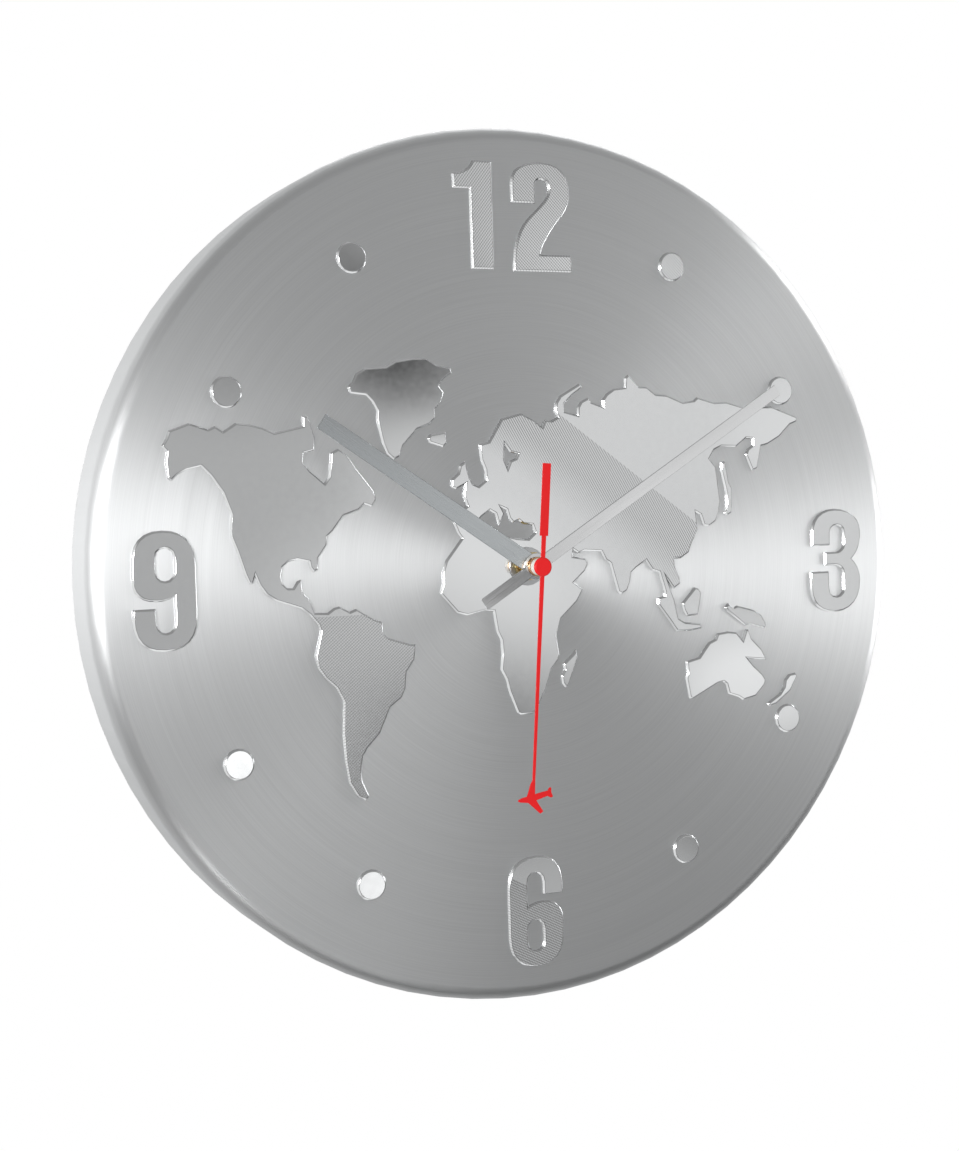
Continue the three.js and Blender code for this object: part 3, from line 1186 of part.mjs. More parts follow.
function backCover() {
  const lower = bayTop + SEAT_GAP;
  const rim = coverSeam - SEAT_GAP;
  const inside = block(
    vector(-innerHalf, lower + CASE_WALL, coverInner),
    vector(innerHalf, chamberTop, coverSeam + CUTTER_PAST),
  );
  const outline = panelShape(-caseHalf, lower, caseHalf, CASE_TOP, CASE_CORNER);
  const tray = cut(prism(outline, caseRear, rim), inside);
  const foot = coverInner - CASE_WALL / 2;
  const bosses = [
    at(rod(BOSS_RADIUS, foot, rotorBossTop), rotorAxis),
    at(rod(BOSS_RADIUS, foot, intermediateBossTop), intermediateAxis),
    at(rod(BOSS_RADIUS, foot, secondsBossTop), handsAxis),
    at(rod(BOSS_RADIUS, foot, thirdBossTop), thirdAxis),
    at(rod(PIVOT_RADIUS, foot, secondsLayer + WHEEL_THICKNESS), intermediateAxis),
  ];
  const pillar = ([x, y], post, pin) => {
    const place = new THREE.Vector2(x, y);
    return [at(rod(POST_RADIUS, foot, post), place), at(rod(PIN_RADIUS, foot, pin), place)];
  };
  const motorPosts = motorPins.flatMap((pin) => pillar(pin, statorBase - SEAT_GAP, coreTop));
  const boardPosts = boardPins.flatMap((pin) => pillar(pin, boardBase - SEAT_GAP, boardBase + BOARD_SHEET));
  const socket = PIVOT_RADIUS + RUNNING_GAP;
  return cut(
    join(tray, hangerTab(), ...bosses, ...motorPosts, ...boardPosts),
    at(rod(socket, rotorBossTop - pivotSocket, rotorBossTop + CUTTER_PAST), rotorAxis),
    at(rod(socket, secondsBossTop - pivotSocket, secondsBossTop + CUTTER_PAST), handsAxis),
    at(rod(socket, thirdBossTop - pivotSocket, thirdBossTop + CUTTER_PAST), thirdAxis),
    at(rod(MOTION_ARBOR_RADIUS + RUNNING_GAP, caseRear - CUTTER_PAST, coverInner + CUTTER_PAST), motionAxis),
  );
}

const clock = new THREE.Group();
clock.rotation.x = Math.PI / 2;
clock.position.z = -hangHeight;
addPiece(clock, "dial_dish", turned(dishProfile(), DISH_SIDES), BRUSHED);
addMap(clock);
addHourMarks(clock);
addFixing(clock);
addHands(clock);
addTrain(clock);
addMotor(clock);
addCircuit(clock);
addBattery(clock);
addPiece(clock, "front_case", frontCase(), BLACK_PLASTIC);
addPiece(clock, "back_cover", backCover(), BLACK_PLASTIC);

const part = new THREE.Group();
part.add(clock);

export default part;
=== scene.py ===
"""World map wall clock: the finishes of its pieces, a plain studio and the camera of the photograph.

Metres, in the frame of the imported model: +Z up, the dial looks along -Y, the origin lies where the
nail meets the wall. The hands turn about an axis along Y through HUB.
"""

import math

import bmesh
import bpy
from mathutils import Matrix, Vector


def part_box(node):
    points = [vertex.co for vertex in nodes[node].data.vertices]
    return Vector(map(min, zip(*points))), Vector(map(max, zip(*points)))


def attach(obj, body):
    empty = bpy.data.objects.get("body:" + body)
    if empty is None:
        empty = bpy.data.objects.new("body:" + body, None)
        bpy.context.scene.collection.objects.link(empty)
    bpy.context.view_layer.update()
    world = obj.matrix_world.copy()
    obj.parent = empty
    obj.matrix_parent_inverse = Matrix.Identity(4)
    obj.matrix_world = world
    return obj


MM = 0.001

# Groups of pieces that share a finish
PLATE_PREFIXES = ("map_", "numeral_", "hour_dot_")
HANDS = ("hour_hand", "minute_hand", "seconds_hand")
BRASS_PIECES = ("threaded_bushing", "fixing_nut", "cannon_pinion", "hour_wheel")
STEEL_PIECES = (
    "contact_positive",
    "contact_negative",
    "quartz_crystal",
    "motor_stator",
    "coil_core",
    "seconds_wheel",
)
WHITE_PIECES = ("coil_bobbin", "intermediate_wheel", "third_wheel", "centre_wheel", "motion_wheel")
CASE_PIECES = ("front_case", "back_cover")

# Colours
DISH_COLOR = (0.755, 0.765, 0.77)
PLATE_COLOR = (0.80, 0.81, 0.815)
HOUR_COLOR = (0.61, 0.64, 0.655)
MINUTE_COLOR = (0.85, 0.855, 0.86)
RED = (0.74, 0.009, 0.011)
BRASS = (0.79, 0.62, 0.28)
COPPER = (0.72, 0.44, 0.26)
STEEL = (0.62, 0.63, 0.64)
BLACK = (0.022, 0.023, 0.025)
WHITE = (0.80, 0.78, 0.72)
RUBBER = (0.018, 0.018, 0.018)
BOARD_GREEN = (0.02, 0.12, 0.05)
MAGNET_GREY = (0.16, 0.16, 0.17)
KNOB_GREY = (0.30, 0.31, 0.32)
WRAP_BLUE = (0.03, 0.09, 0.26)
WRAP_BAND = (0.62, 0.63, 0.64)
CELL_METAL = (0.66, 0.66, 0.65)
FLOOR_COLOR = (0.92, 0.92, 0.92)
FULL_WHITE = (1.0, 1.0, 1.0, 1.0)

# Camera: where it stands about the hub, how it is turned, and its field of view.
IMAGE_HEIGHT_PX = 1151
FOCAL_LENGTH_PX = 1823.1
SENSOR_MM = 36.0
CAMERA_YAW = math.radians(23.264)
CAMERA_PITCH = math.radians(2.140)
CAMERA_ROLL = math.radians(-1.697)
CAMERA_DISTANCE = 0.7358
CAMERA_RIGHT = 0.01921
CAMERA_UP = 0.00376
CAMERA_CLIP_START = 0.01

# Studio
FLOOR_DROP = 2.0
FLOOR_SIZE = 24.0
FLOOR_ROUGHNESS = 0.9
FLOOR_WHITENING = 0.94
FLOOR_GLOW = 1.03
AMBIENT = 0.55
TENT_RADIUS = 1.9
EDGE_GLOW_RADIUS = 1.8
TENT_SEGMENTS = 64
TENT_RINGS = 32

# Glow of the tent below and above in front, and behind the clock, and the shares of its radius over
# which it changes.
TENT_LOW = 0.09
TENT_HIGH = 0.31
TENT_REAR = 0.55
TENT_HEIGHT_SHARE = 0.5
TENT_DEPTH_SHARE = 0.2

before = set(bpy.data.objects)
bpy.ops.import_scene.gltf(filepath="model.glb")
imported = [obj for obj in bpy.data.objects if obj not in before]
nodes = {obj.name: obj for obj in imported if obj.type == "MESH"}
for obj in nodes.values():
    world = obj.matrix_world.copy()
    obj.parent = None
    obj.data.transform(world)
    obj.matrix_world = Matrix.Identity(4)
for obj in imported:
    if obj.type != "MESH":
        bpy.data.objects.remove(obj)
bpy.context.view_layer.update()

dish_low, dish_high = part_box("dial_dish")
plate_low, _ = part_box("map_americas")
_, cover_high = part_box("back_cover")
HUB = (dish_low + dish_high) / 2
HUB.y = plate_low.y


# Node graphs

# Most values of a noise lie between these.
NOISE_LOW = 0.3
NOISE_HIGH = 0.7


class Graph:
    """Short calls for one node tree."""

    def __init__(self, tree):
        self.tree = tree

    def add(self, kind, inputs=None, **settings):
        node = self.tree.nodes.new(kind)
        for name, value in settings.items():
            setattr(node, name, value)
        for key, value in (inputs or {}).items():
            self.feed(node.inputs[key], value)
        return node

    def feed(self, socket, value):
        if isinstance(value, bpy.types.NodeSocket):
            self.tree.links.new(value, socket)
        else:
            socket.default_value = value

    def math(self, operation, a, b=0.0):
        return self.add("ShaderNodeMath", {0: a, 1: b}, operation=operation).outputs[0]

    def spread(self, value, low, high, start=0.0, end=1.0):
        """Maps value from start..end to low..high."""
        inputs = {"Value": value, "From Min": start, "From Max": end, "To Min": low, "To Max": high}
        return self.add("ShaderNodeMapRange", inputs).outputs[0]

    def vary(self, noise, low, high):
        """Maps a noise to low..high."""
        return self.spread(noise, low, high, NOISE_LOW, NOISE_HIGH)

    def mix(self, factor, a, b):
        return self.add("ShaderNodeMix", {0: factor, 6: a, 7: b}, data_type="RGBA").outputs[2]

    def mottle(self, noise, color, low, high):
        """The colour times low to high, as the noise goes from 0 to 1."""
        return self.mix(noise, rgba(shade(color, low)), rgba(shade(color, high)))

    def place(self):
        """The position on the object, in metres."""
        return self.add("ShaderNodeTexCoord").outputs["Object"]

    def axes(self, vector):
        return self.add("ShaderNodeSeparateXYZ", {0: vector}).outputs

    def point(self, x, y, z=0.0):
        return self.add("ShaderNodeCombineXYZ", {0: x, 1: y, 2: z}).outputs[0]

    def noise(self, vector, scale, detail):
        inputs = {"Vector": vector, "Scale": scale, "Detail": detail}
        return self.add("ShaderNodeTexNoise", inputs).outputs["Fac"]

    def bump(self, height, strength, distance, normal=None):
        inputs = {"Height": height, "Strength": strength, "Distance": distance}
        if normal:
            inputs["Normal"] = normal
        return self.add("ShaderNodeBump", inputs).outputs[0]

    def leaned(self, normal, lean):
        """A unit normal, after lean is added to it."""
        total = self.add("ShaderNodeVectorMath", {0: normal, 1: lean}).outputs[0]
        return self.add("ShaderNodeVectorMath", {0: total}, operation="NORMALIZE").outputs[0]


def rgba(color):
    return (*color, 1.0)


def shade(color, factor):
    return tuple(channel * factor for channel in color)


def new_material(name, color, roughness, metallic=0.0):
    """A principled material, its graph and its shader node."""
    material = bpy.data.materials.new(name)
    material.use_nodes = True
    graph = Graph(material.node_tree)
    shader = material.node_tree.nodes["Principled BSDF"]
    shader.inputs["Base Color"].default_value = rgba(color)
    shader.inputs["Roughness"].default_value = roughness
    shader.inputs["Metallic"].default_value = metallic
    return material, graph, shader


def dial_axes(graph):
    """Distances to the right of the hub and above it."""
    x, _, z = graph.axes(graph.place())
    return graph.math("SUBTRACT", x, HUB.x), graph.math("SUBTRACT", z, HUB.z)


def hub_distance(graph, right, up):
    squares = graph.math("ADD", graph.math("MULTIPLY", right, right), graph.math("MULTIPLY", up, up))
    return graph.math("SQRT", squares)


def rings(graph, per_metre, per_turn):
    """Noise drawn out along circles about the hub."""
    right, up = dial_axes(graph)
    radius = hub_distance(graph, right, up)
    cosine = graph.math("MULTIPLY", graph.math("DIVIDE", right, radius), per_turn)
    sine = graph.math("MULTIPLY", graph.math("DIVIDE", up, radius), per_turn)
    drawn_out = graph.point(graph.math("MULTIPLY", radius, per_metre), cosine, sine)
    return graph.noise(drawn_out, scale=1.0, detail=3)


# Materials

# The brushed dish. Its side wall is duller than its face: by how much, and the depths behind the face
# between which that comes in.
DISH_ROUGHNESS = (0.405, 0.435)
DISH_BRUSH = 0.73
QUARTER_TURN = 0.25
FINE_SHARE = 0.75
WALL_BLUR = 0.13
WALL_START = 2.0 * MM
WALL_FULL = 9.0 * MM


def brushed_dish():
    """Spun aluminium, brushed in fine circles about the hub."""
    material, graph, shader = new_material("brushed_dish", DISH_COLOR, sum(DISH_ROUGHNESS) / 2, 1.0)
    shader.inputs["Anisotropic"].default_value = DISH_BRUSH
    shader.inputs["Anisotropic Rotation"].default_value = QUARTER_TURN
    depth = graph.axes(graph.place())[1]
    on_wall = graph.spread(depth, 0.0, 1.0, dish_low.y + WALL_START, dish_low.y + WALL_FULL)
    fine = rings(graph, per_metre=2600, per_turn=2.0)
    broad = rings(graph, per_metre=330, per_turn=1.2)
    fine_part = graph.math("MULTIPLY", fine, FINE_SHARE)
    broad_part = graph.math("MULTIPLY", broad, 1 - FINE_SHARE)
    grain = graph.vary(graph.math("ADD", fine_part, broad_part), 0.0, 1.0)
    graph.feed(shader.inputs["Base Color"], graph.mottle(grain, DISH_COLOR, 0.95, 1.035))
    blur = graph.vary(broad, *DISH_ROUGHNESS)
    blur = graph.math("ADD", blur, graph.math("MULTIPLY", on_wall, WALL_BLUR))
    graph.feed(shader.inputs["Roughness"], blur)
    graph.feed(shader.inputs["Normal"], graph.bump(fine, strength=0.10, distance=0.05 * MM))
    tangent = graph.add("ShaderNodeTangent", direction_type="RADIAL", axis="Y")
    graph.feed(shader.inputs["Tangent"], tangent.outputs[0])
    return material


# The polished plates. The stripe tone and blur are the darkening and the dullness of a full stripe: dark
# lines painted on as a painted reflection of striped surroundings, with some roughness added. SHOULDER_EASE
# is how far the polish eases the slope of a shoulder, as a share added to its normal.
PLATE_ROUGHNESS = (0.09, 0.11)
STRIPE_PITCH = 0.92 * MM
STRIPE_SHADE = 0.25
STRIPE_BLUR = 0.3
STRIPE_END_FADE = 0.2 * MM
SHOULDER_EASE = 0.45


def across_lines(graph, right, up, angle):
    """Distance from the hub, measured square to lines that rise at angle."""
    first = graph.math("MULTIPLY", right, -math.sin(angle))
    second = graph.math("MULTIPLY", up, math.cos(angle))
    return graph.math("ADD", first, second)


def painted_stripes(graph, right, up, stripes):
    """Fine parallel stripes painted on as a painted reflection: each has a rise in degrees and a depth of
    darkening.
    """
    total = 0.0
    for rise, depth in stripes:
        distance = across_lines(graph, right, up, math.radians(rise))
        wave = graph.math("SINE", graph.math("MULTIPLY", distance, 2 * math.pi / STRIPE_PITCH))
        total = graph.math("ADD", total, graph.spread(wave, 0.0, depth, -1.0, 1.0))
    return total


def within(graph, right, up, rise, start, end, fade):
    """1 between two lines that rise at the same angle, start and end being their distances from the hub."""
    distance = across_lines(graph, right, up, math.radians(rise))
    lower = graph.spread(distance, 0.0, 1.0, start, start + fade)
    upper = graph.spread(distance, 1.0, 0.0, end - STRIPE_END_FADE, end)
    return graph.math("MULTIPLY", lower, upper)


def polished_plate(name, stripes=(), region=None):
    """Mirror-polished sheet, slightly wavy, with dark stripes painted on as a painted reflection where
    given.
    """
    material, graph, shader = new_material(name, PLATE_COLOR, sum(PLATE_ROUGHNESS) / 2, 1.0)
    place = graph.place()
    haze = graph.noise(place, scale=420, detail=3)
    waviness = graph.noise(place, scale=28, detail=1)
    normal = graph.bump(waviness, strength=0.2, distance=0.2 * MM)
    roughness = graph.vary(haze, *PLATE_ROUGHNESS)
    tone = graph.mottle(haze, PLATE_COLOR, 0.97, 1.03)
    if stripes:
        right, up = dial_axes(graph)
        painted_stripe_amount = painted_stripes(graph, right, up, stripes)
        if region:
            painted_stripe_amount = graph.math("MULTIPLY", painted_stripe_amount, within(graph, right, up, *region))
        # Painted reflection: the stripes darken the plate's colour, and add a little roughness and bump.
        tone = graph.mix(painted_stripe_amount, tone, rgba(shade(PLATE_COLOR, STRIPE_SHADE)))
        roughness = graph.math("ADD", roughness, graph.math("MULTIPLY", painted_stripe_amount, STRIPE_BLUR))
        normal = graph.bump(painted_stripe_amount, strength=0.2, distance=0.05 * MM, normal=normal)
    graph.feed(shader.inputs["Base Color"], tone)
    graph.feed(shader.inputs["Roughness"], roughness)
    graph.feed(shader.inputs["Normal"], graph.leaned(normal, (0.0, -SHOULDER_EASE, 0.0)))
    return material


# The grain of a hand: how many changes to a metre along it and across it.
GRAIN_ALONG = 60
GRAIN_ACROSS = 3000


def satin_hand(name, color, roughness, along, lean=None, tail_lean=None):
    """Sheet metal, brushed along the hand. along is its direction in the plane of the dial. A hand that is
    slightly bent leans its surface normal, and its tail leans another way."""
    material, graph, shader = new_material(name, color, roughness, 1.0)
    x, _, z = graph.axes(graph.place())
    lengthwise = graph.math("ADD", graph.math("MULTIPLY", x, along.x), graph.math("MULTIPLY", z, along.z))
    across = graph.math("SUBTRACT", graph.math("MULTIPLY", x, along.z), graph.math("MULTIPLY", z, along.x))
    grain_along = graph.math("MULTIPLY", lengthwise, GRAIN_ALONG)
    grain_across = graph.math("MULTIPLY", across, GRAIN_ACROSS)
    grain = graph.noise(graph.point(grain_along, grain_across), scale=1.0, detail=3)
    graph.feed(shader.inputs["Base Color"], graph.mottle(grain, color, 0.95, 1.04))
    graph.feed(shader.inputs["Roughness"], graph.vary(grain, roughness - 0.04, roughness + 0.05))
    normal = graph.bump(grain, strength=0.025, distance=0.05 * MM)
    if lean:
        past_hub = graph.math("GREATER_THAN", lengthwise, HUB.x * along.x + HUB.z * along.z)
        inputs = {"Factor": past_hub, 4: tail_lean, 5: lean}
        bend = graph.add("ShaderNodeMix", inputs, data_type="VECTOR").outputs[1]
        frames = {"convert_from": "OBJECT", "convert_to": "WORLD"}
        turned = graph.add("ShaderNodeVectorTransform", {0: bend}, **frames).outputs[0]
        normal = graph.leaned(normal, turned)
    graph.feed(shader.inputs["Normal"], normal)
    return material


def enamel_red():
    """Semi-gloss paint with a faint orange-peel surface."""
    material, graph, shader = new_material("enamel_red", RED, roughness=0.38)
    shader.inputs["Specular IOR Level"].default_value = 0.3
    place = graph.place()
    cloud = graph.noise(place, scale=90, detail=2)
    peel = graph.noise(place, scale=1500, detail=2)
    graph.feed(shader.inputs["Base Color"], graph.mottle(cloud, RED, 0.94, 1.05))
    graph.feed(shader.inputs["Normal"], graph.bump(peel, strength=0.04, distance=0.05 * MM))
    return material


def moulded(name, color, roughness, texture_scale=1400.0, texture_depth=0.12):
    """Moulded plastic with a fine even texture."""
    material, graph, shader = new_material(name, color, roughness)
    place = graph.place()
    cloud = graph.noise(place, scale=70, detail=3)
    texture = graph.noise(place, scale=texture_scale, detail=2)
    graph.feed(shader.inputs["Base Color"], graph.mottle(cloud, color, 0.9, 1.1))
    graph.feed(shader.inputs["Roughness"], graph.vary(cloud, roughness - 0.05, roughness + 0.07))
    graph.feed(shader.inputs["Normal"], graph.bump(texture, strength=texture_depth, distance=0.1 * MM))
    return material


GROOVE_PITCH = 0.25 * MM


def turned_metal(name, color, roughness):
    """Lathe-turned metal with fine grooves along its own length."""
    material, graph, shader = new_material(name, color, roughness, 1.0)
    place = graph.place()
    y = graph.axes(place)[1]
    grooves = graph.noise(graph.point(graph.math("DIVIDE", y, GROOVE_PITCH), 0.0), scale=1.0, detail=2)
    tarnish = graph.noise(place, scale=220, detail=3)
    graph.feed(shader.inputs["Base Color"], graph.mottle(tarnish, color, 0.88, 1.06))
    graph.feed(shader.inputs["Roughness"], graph.vary(tarnish, roughness - 0.05, roughness + 0.08))
    graph.feed(shader.inputs["Normal"], graph.bump(grooves, strength=0.15, distance=0.05 * MM))
    return material


# Lengths of the pale band and of the bare metal at the battery's ends, and how metallic the band is.
BATTERY_BAND = 13.0 * MM
BATTERY_BARE_PLUS = 1.6 * MM
BATTERY_BARE_MINUS = 0.6 * MM
BAND_METALLIC = 0.8


def battery_jacket():
    """A printed wrap with a pale band at the plus end, and bare metal beyond the wrap."""
    low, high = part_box("battery_aa")
    material, graph, shader = new_material("battery_jacket", WRAP_BLUE, roughness=0.3)
    place = graph.place()
    x = graph.axes(place)[0]
    rub = graph.noise(place, scale=400, detail=3)
    ripple = graph.noise(place, scale=120, detail=2)
    in_band = graph.math("GREATER_THAN", x, high.x - BATTERY_BAND)
    above = graph.math("GREATER_THAN", x, high.x - BATTERY_BARE_PLUS)
    below = graph.math("LESS_THAN", x, low.x + BATTERY_BARE_MINUS)
    bare = graph.math("MAXIMUM", above, below)
    tone = graph.mix(in_band, graph.mottle(rub, WRAP_BLUE, 0.85, 1.15), rgba(WRAP_BAND))
    shine = graph.math("MAXIMUM", graph.math("MULTIPLY", in_band, BAND_METALLIC), bare)
    graph.feed(shader.inputs["Base Color"], graph.mix(bare, tone, rgba(CELL_METAL)))
    graph.feed(shader.inputs["Metallic"], shine)
    graph.feed(shader.inputs["Roughness"], graph.vary(rub, 0.26, 0.4))
    graph.feed(shader.inputs["Normal"], graph.bump(ripple, strength=0.05, distance=0.1 * MM))
    return material


# Small pieces on the back of the movement, and the bushing's thread

MARK_HEIGHT = 0.25 * MM
MARK_SUNK = 0.05 * MM
MARK_EDGE = 0.06 * MM
MARK_REACH = 1.6 * MM
MARK_HALF_WIDTH = 0.35 * MM
MARK_MARGIN = 4.0 * MM
ARROW_RADIUS = 7.6 * MM
ARROW_START = math.radians(-150)
ARROW_END = math.radians(-20)
ARROW_HEAD = math.radians(26)
ARROW_HEAD_HALF_WIDTH = 3 * MARK_HALF_WIDTH
ARROW_STEPS = 24


def add_piece(name, mesh, material, edge=0.0):
    """A piece of the still clock that only the scene has."""
    piece = bpy.data.objects.new(name, mesh)
    bpy.context.scene.collection.objects.link(piece)
    piece.data.materials.append(material)
    if edge:
        bevel = piece.modifiers.new("edge", "BEVEL")
        bevel.width = edge
        bevel.segments = 2
        bevel.limit_method = "ANGLE"
    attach(piece, "clock")


def raised_mesh(name, outline):
    """A low relief on the back cover, from a closed outline of (x, z) points."""
    mesh = bpy.data.meshes.new(name)
    relief = bmesh.new()
    foot = cover_high.y - MARK_SUNK
    face = relief.faces.new([relief.verts.new((x, foot, z)) for x, z in outline])
    top = bmesh.ops.extrude_face_region(relief, geom=[face])["geom"]
    moved = [item for item in top if isinstance(item, bmesh.types.BMVert)]
    bmesh.ops.translate(relief, verts=moved, vec=(0, MARK_SUNK + MARK_HEIGHT, 0))
    bmesh.ops.recalc_face_normals(relief, faces=relief.faces)
    relief.to_mesh(mesh)
    relief.free()
    return mesh


def bar(x, z, half_length, half_width):
    return [
        (x - half_length, z - half_width),
        (x + half_length, z - half_width),
        (x + half_length, z + half_width),
        (x - half_length, z + half_width),
    ]


def plus(x, z, reach, half_width):
    """Twelve corners, quarter by quarter."""
    corner = [(reach, half_width), (half_width, half_width), (half_width, reach)]
    points = []
    for quarter in range(4):
        turn = Matrix.Rotation(quarter * math.pi / 2, 2)
        points += [turn @ Vector(place) for place in corner]
    return [(x + place.x, z + place.y) for place in points]


def arrow(x, z):
    """An arc about (x, z) that ends in a head."""
    sweep = ARROW_END - ARROW_START
    angles = [ARROW_START + sweep * step / ARROW_STEPS for step in range(ARROW_STEPS + 1)]
    outer = [(ARROW_RADIUS + MARK_HALF_WIDTH, angle) for angle in angles]
    inner = [(ARROW_RADIUS - MARK_HALF_WIDTH, angle) for angle in reversed(angles)]
    head = [
        (ARROW_RADIUS + ARROW_HEAD_HALF_WIDTH, ARROW_END),
        (ARROW_RADIUS, ARROW_END + ARROW_HEAD),
        (ARROW_RADIUS - ARROW_HEAD_HALF_WIDTH, ARROW_END),
    ]
    return [(x + r * math.cos(angle), z + r * math.sin(angle)) for r, angle in outer + head + inner]


def add_cover_marks(material):
    """Moulded plus and minus signs above the battery's ends, and an arrow about the setting knob."""
    battery_low, battery_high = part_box("battery_aa")
    knob_low, knob_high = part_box("setting_knob")
    knob = (knob_low + knob_high) / 2
    line = battery_high.z + MARK_MARGIN
    outlines = {
        "plus_sign": plus(battery_high.x - MARK_MARGIN, line, MARK_REACH, MARK_HALF_WIDTH),
        "minus_sign": bar(battery_low.x + MARK_MARGIN, line, MARK_REACH, MARK_HALF_WIDTH),
        "setting_arrow": arrow(knob.x, knob.z),
    }
    for name, outline in outlines.items():
        add_piece(name, raised_mesh(name, outline), material, MARK_EDGE)


BUSHING_RADIUS = 3.9 * MM
THREAD_PITCH = 0.75 * MM
THREAD_HALF_WIDTH = 0.22 * MM
THREAD_HEIGHT = 0.13 * MM
THREAD_SUNK = 0.03 * MM
THREAD_STEPS = 40


def add_thread(material):
    """The helical ridge of the bushing in front of its nut, three points to a step."""
    bushing_low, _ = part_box("threaded_bushing")
    nut_low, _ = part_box("fixing_nut")
    start = nut_low.y - THREAD_HALF_WIDTH
    rise = start - bushing_low.y - THREAD_HALF_WIDTH
    root = BUSHING_RADIUS - THREAD_SUNK
    crest = BUSHING_RADIUS + THREAD_HEIGHT
    side = Vector((0.0, THREAD_HALF_WIDTH, 0.0))
    points = []
    faces = [(0, 1, 2)]
    for step in range(THREAD_STEPS + 1):
        along = rise * step / THREAD_STEPS
        angle = 2 * math.pi * along / THREAD_PITCH
        outward = Vector((math.cos(angle), 0.0, math.sin(angle)))
        middle = Vector((HUB.x, start - along, HUB.z))
        points += [middle + outward * root - side, middle + outward * crest, middle + outward * root + side]
        if step:
            last = 3 * step
            for corner in range(3):
                other = (corner + 1) % 3
                faces.append((last - 3 + corner, last + corner, last + other, last - 3 + other))
    end = 3 * THREAD_STEPS
    faces.append((end + 2, end + 1, end))
    mesh = bpy.data.meshes.new("bushing_thread")
    mesh.from_pydata(points, [], faces)
    mesh.validate()
    add_piece("bushing_thread", mesh, material)


# Studio and camera


def direction(azimuth, elevation):
    """A unit vector from the dial into the room: degrees to the right of straight ahead, and upward."""
    azimuth = math.radians(azimuth)
    elevation = math.radians(elevation)
    level = math.cos(elevation)
    return Vector((level * math.sin(azimuth), -level * math.cos(azimuth), math.sin(elevation)))


def seen_directly(graph):
    """1 for camera, glossy and transmission rays, which see the white surroundings."""
    rays = graph.add("ShaderNodeLightPath").outputs
    glossy = graph.math("MAXIMUM", rays["Is Camera Ray"], rays["Is Glossy Ray"])
    return graph.math("MAXIMUM", glossy, rays["Is Transmission Ray"])


def make_world():
    world = bpy.data.worlds.new("studio_world")
    bpy.context.scene.world = world
    world.use_nodes = True
    graph = Graph(world.node_tree)
    background = world.node_tree.nodes["Background"]
    background.inputs["Color"].default_value = FULL_WHITE
    graph.feed(background.inputs["Strength"], graph.spread(seen_directly(graph), AMBIENT, 1.0))


def make_floor():
    bpy.ops.mesh.primitive_plane_add(size=FLOOR_SIZE, location=(0, 0, dish_low.z - FLOOR_DROP))
    floor = bpy.context.object
    floor.name = "floor"
    material, graph, shader = new_material("floor", FLOOR_COLOR, FLOOR_ROUGHNESS)
    white = graph.add("ShaderNodeEmission", {"Color": FULL_WHITE, "Strength": FLOOR_GLOW})
    share = graph.math("MULTIPLY", seen_directly(graph), FLOOR_WHITENING)
    blend = graph.add("ShaderNodeMixShader", {0: share, 1: shader.outputs[0], 2: white.outputs[0]})
    output = material.node_tree.nodes["Material Output"]
    graph.feed(output.inputs["Surface"], blend.outputs[0])
    floor.data.materials.append(material)


# Soft patches that the metal mirrors: azimuth, elevation, half width and half height in degrees, and
# added strength. A patch is even over PATCH_CORE of its size.
TENT_PATCHES = [
    (-66, -28, 44, 66, 0.16),
    (11, -1, 15, 12, 0.29),
    (33, 1.5, 17, 15, 0.54),
    (20.5, 8, 5, 4, -0.30),
    (11.9, 6.8, 4, 3, -0.10),
    (24.8, 14, 8, 6, 0.42),
    (11.9, -9.8, 3, 3, 1.20),
    (17.5, -15.3, 3, 3, 1.10),
    (35, -8, 5, 4, 0.32),
    (20, -3, 9, 5, 0.14),
    (19.3, 3.2, 2.6, 1.8, 0.10),
    (36.5, 3.5, 3.5, 3, 0.10),
    (17.3, -8, 4, 4.5, 0.09),
    (17.0, -10.2, 3.2, 3.0, 0.10),
    (31.4, 10.8, 3, 2.5, 0.09),
    (31.4, -14.2, 3, 3, 0.13),
    (26, -18, 10, 6, 0.36),
]
# Broad glows to the left and below, for the edges of the plates and hands alone.
EDGE_PATCHES = [
    (-66, -22, 44, 66, 0.60),
    (40, -72, 40, 36, 0.85),
]
PATCH_CORE = 0.5


def patches_level(graph, place, radius, patches, level):
    """The level, with the patches of a sphere of that radius added."""
    for azimuth, elevation, half_width, half_height, strength in patches:
        width = radius * math.radians(half_width)
        height = radius * math.radians(half_height)
        centre = direction(azimuth, elevation) * radius
        inputs = {"Vector": place, "Location": centre, "Scale": (width, width, height)}
        inside = graph.add("ShaderNodeMapping", inputs, vector_type="TEXTURE").outputs[0]
        spot = graph.add("ShaderNodeTexGradient", {"Vector": inside}, gradient_type="SPHERICAL")
        soft = graph.spread(spot.outputs["Fac"], 0.0, strength, 0.0, PATCH_CORE)
        soft.node.interpolation_type = "SMOOTHSTEP"
        level = graph.math("ADD", level, soft)
    return level


def tent_shell(name, radius):
    """A sphere about the hub that only mirror reflections see, and the graph of its empty material."""
    sphere = {"segments": TENT_SEGMENTS, "ring_count": TENT_RINGS, "radius": radius}
    bpy.ops.mesh.primitive_uv_sphere_add(location=HUB, **sphere)
    tent = bpy.context.object
    tent.name = name
    tent.visible_camera = False
    tent.visible_diffuse = False
    tent.visible_shadow = False
    material = bpy.data.materials.new(name)
    material.use_nodes = True
    material.node_tree.nodes.clear()
    tent.data.materials.append(material)
    return tent, Graph(material.node_tree)


def glow_and_output(graph, level, clear=False):
    """A glow of that level. A clear one also lets through what lies behind it."""
    shader = graph.add("ShaderNodeEmission", {"Color": FULL_WHITE, "Strength": level}).outputs[0]
    if clear:
        through = graph.add("ShaderNodeBsdfTransparent").outputs[0]
        shader = graph.add("ShaderNodeAddShader", {0: shader, 1: through}).outputs[0]
    output = graph.add("ShaderNodeOutputMaterial")
    graph.feed(output.inputs["Surface"], shader)


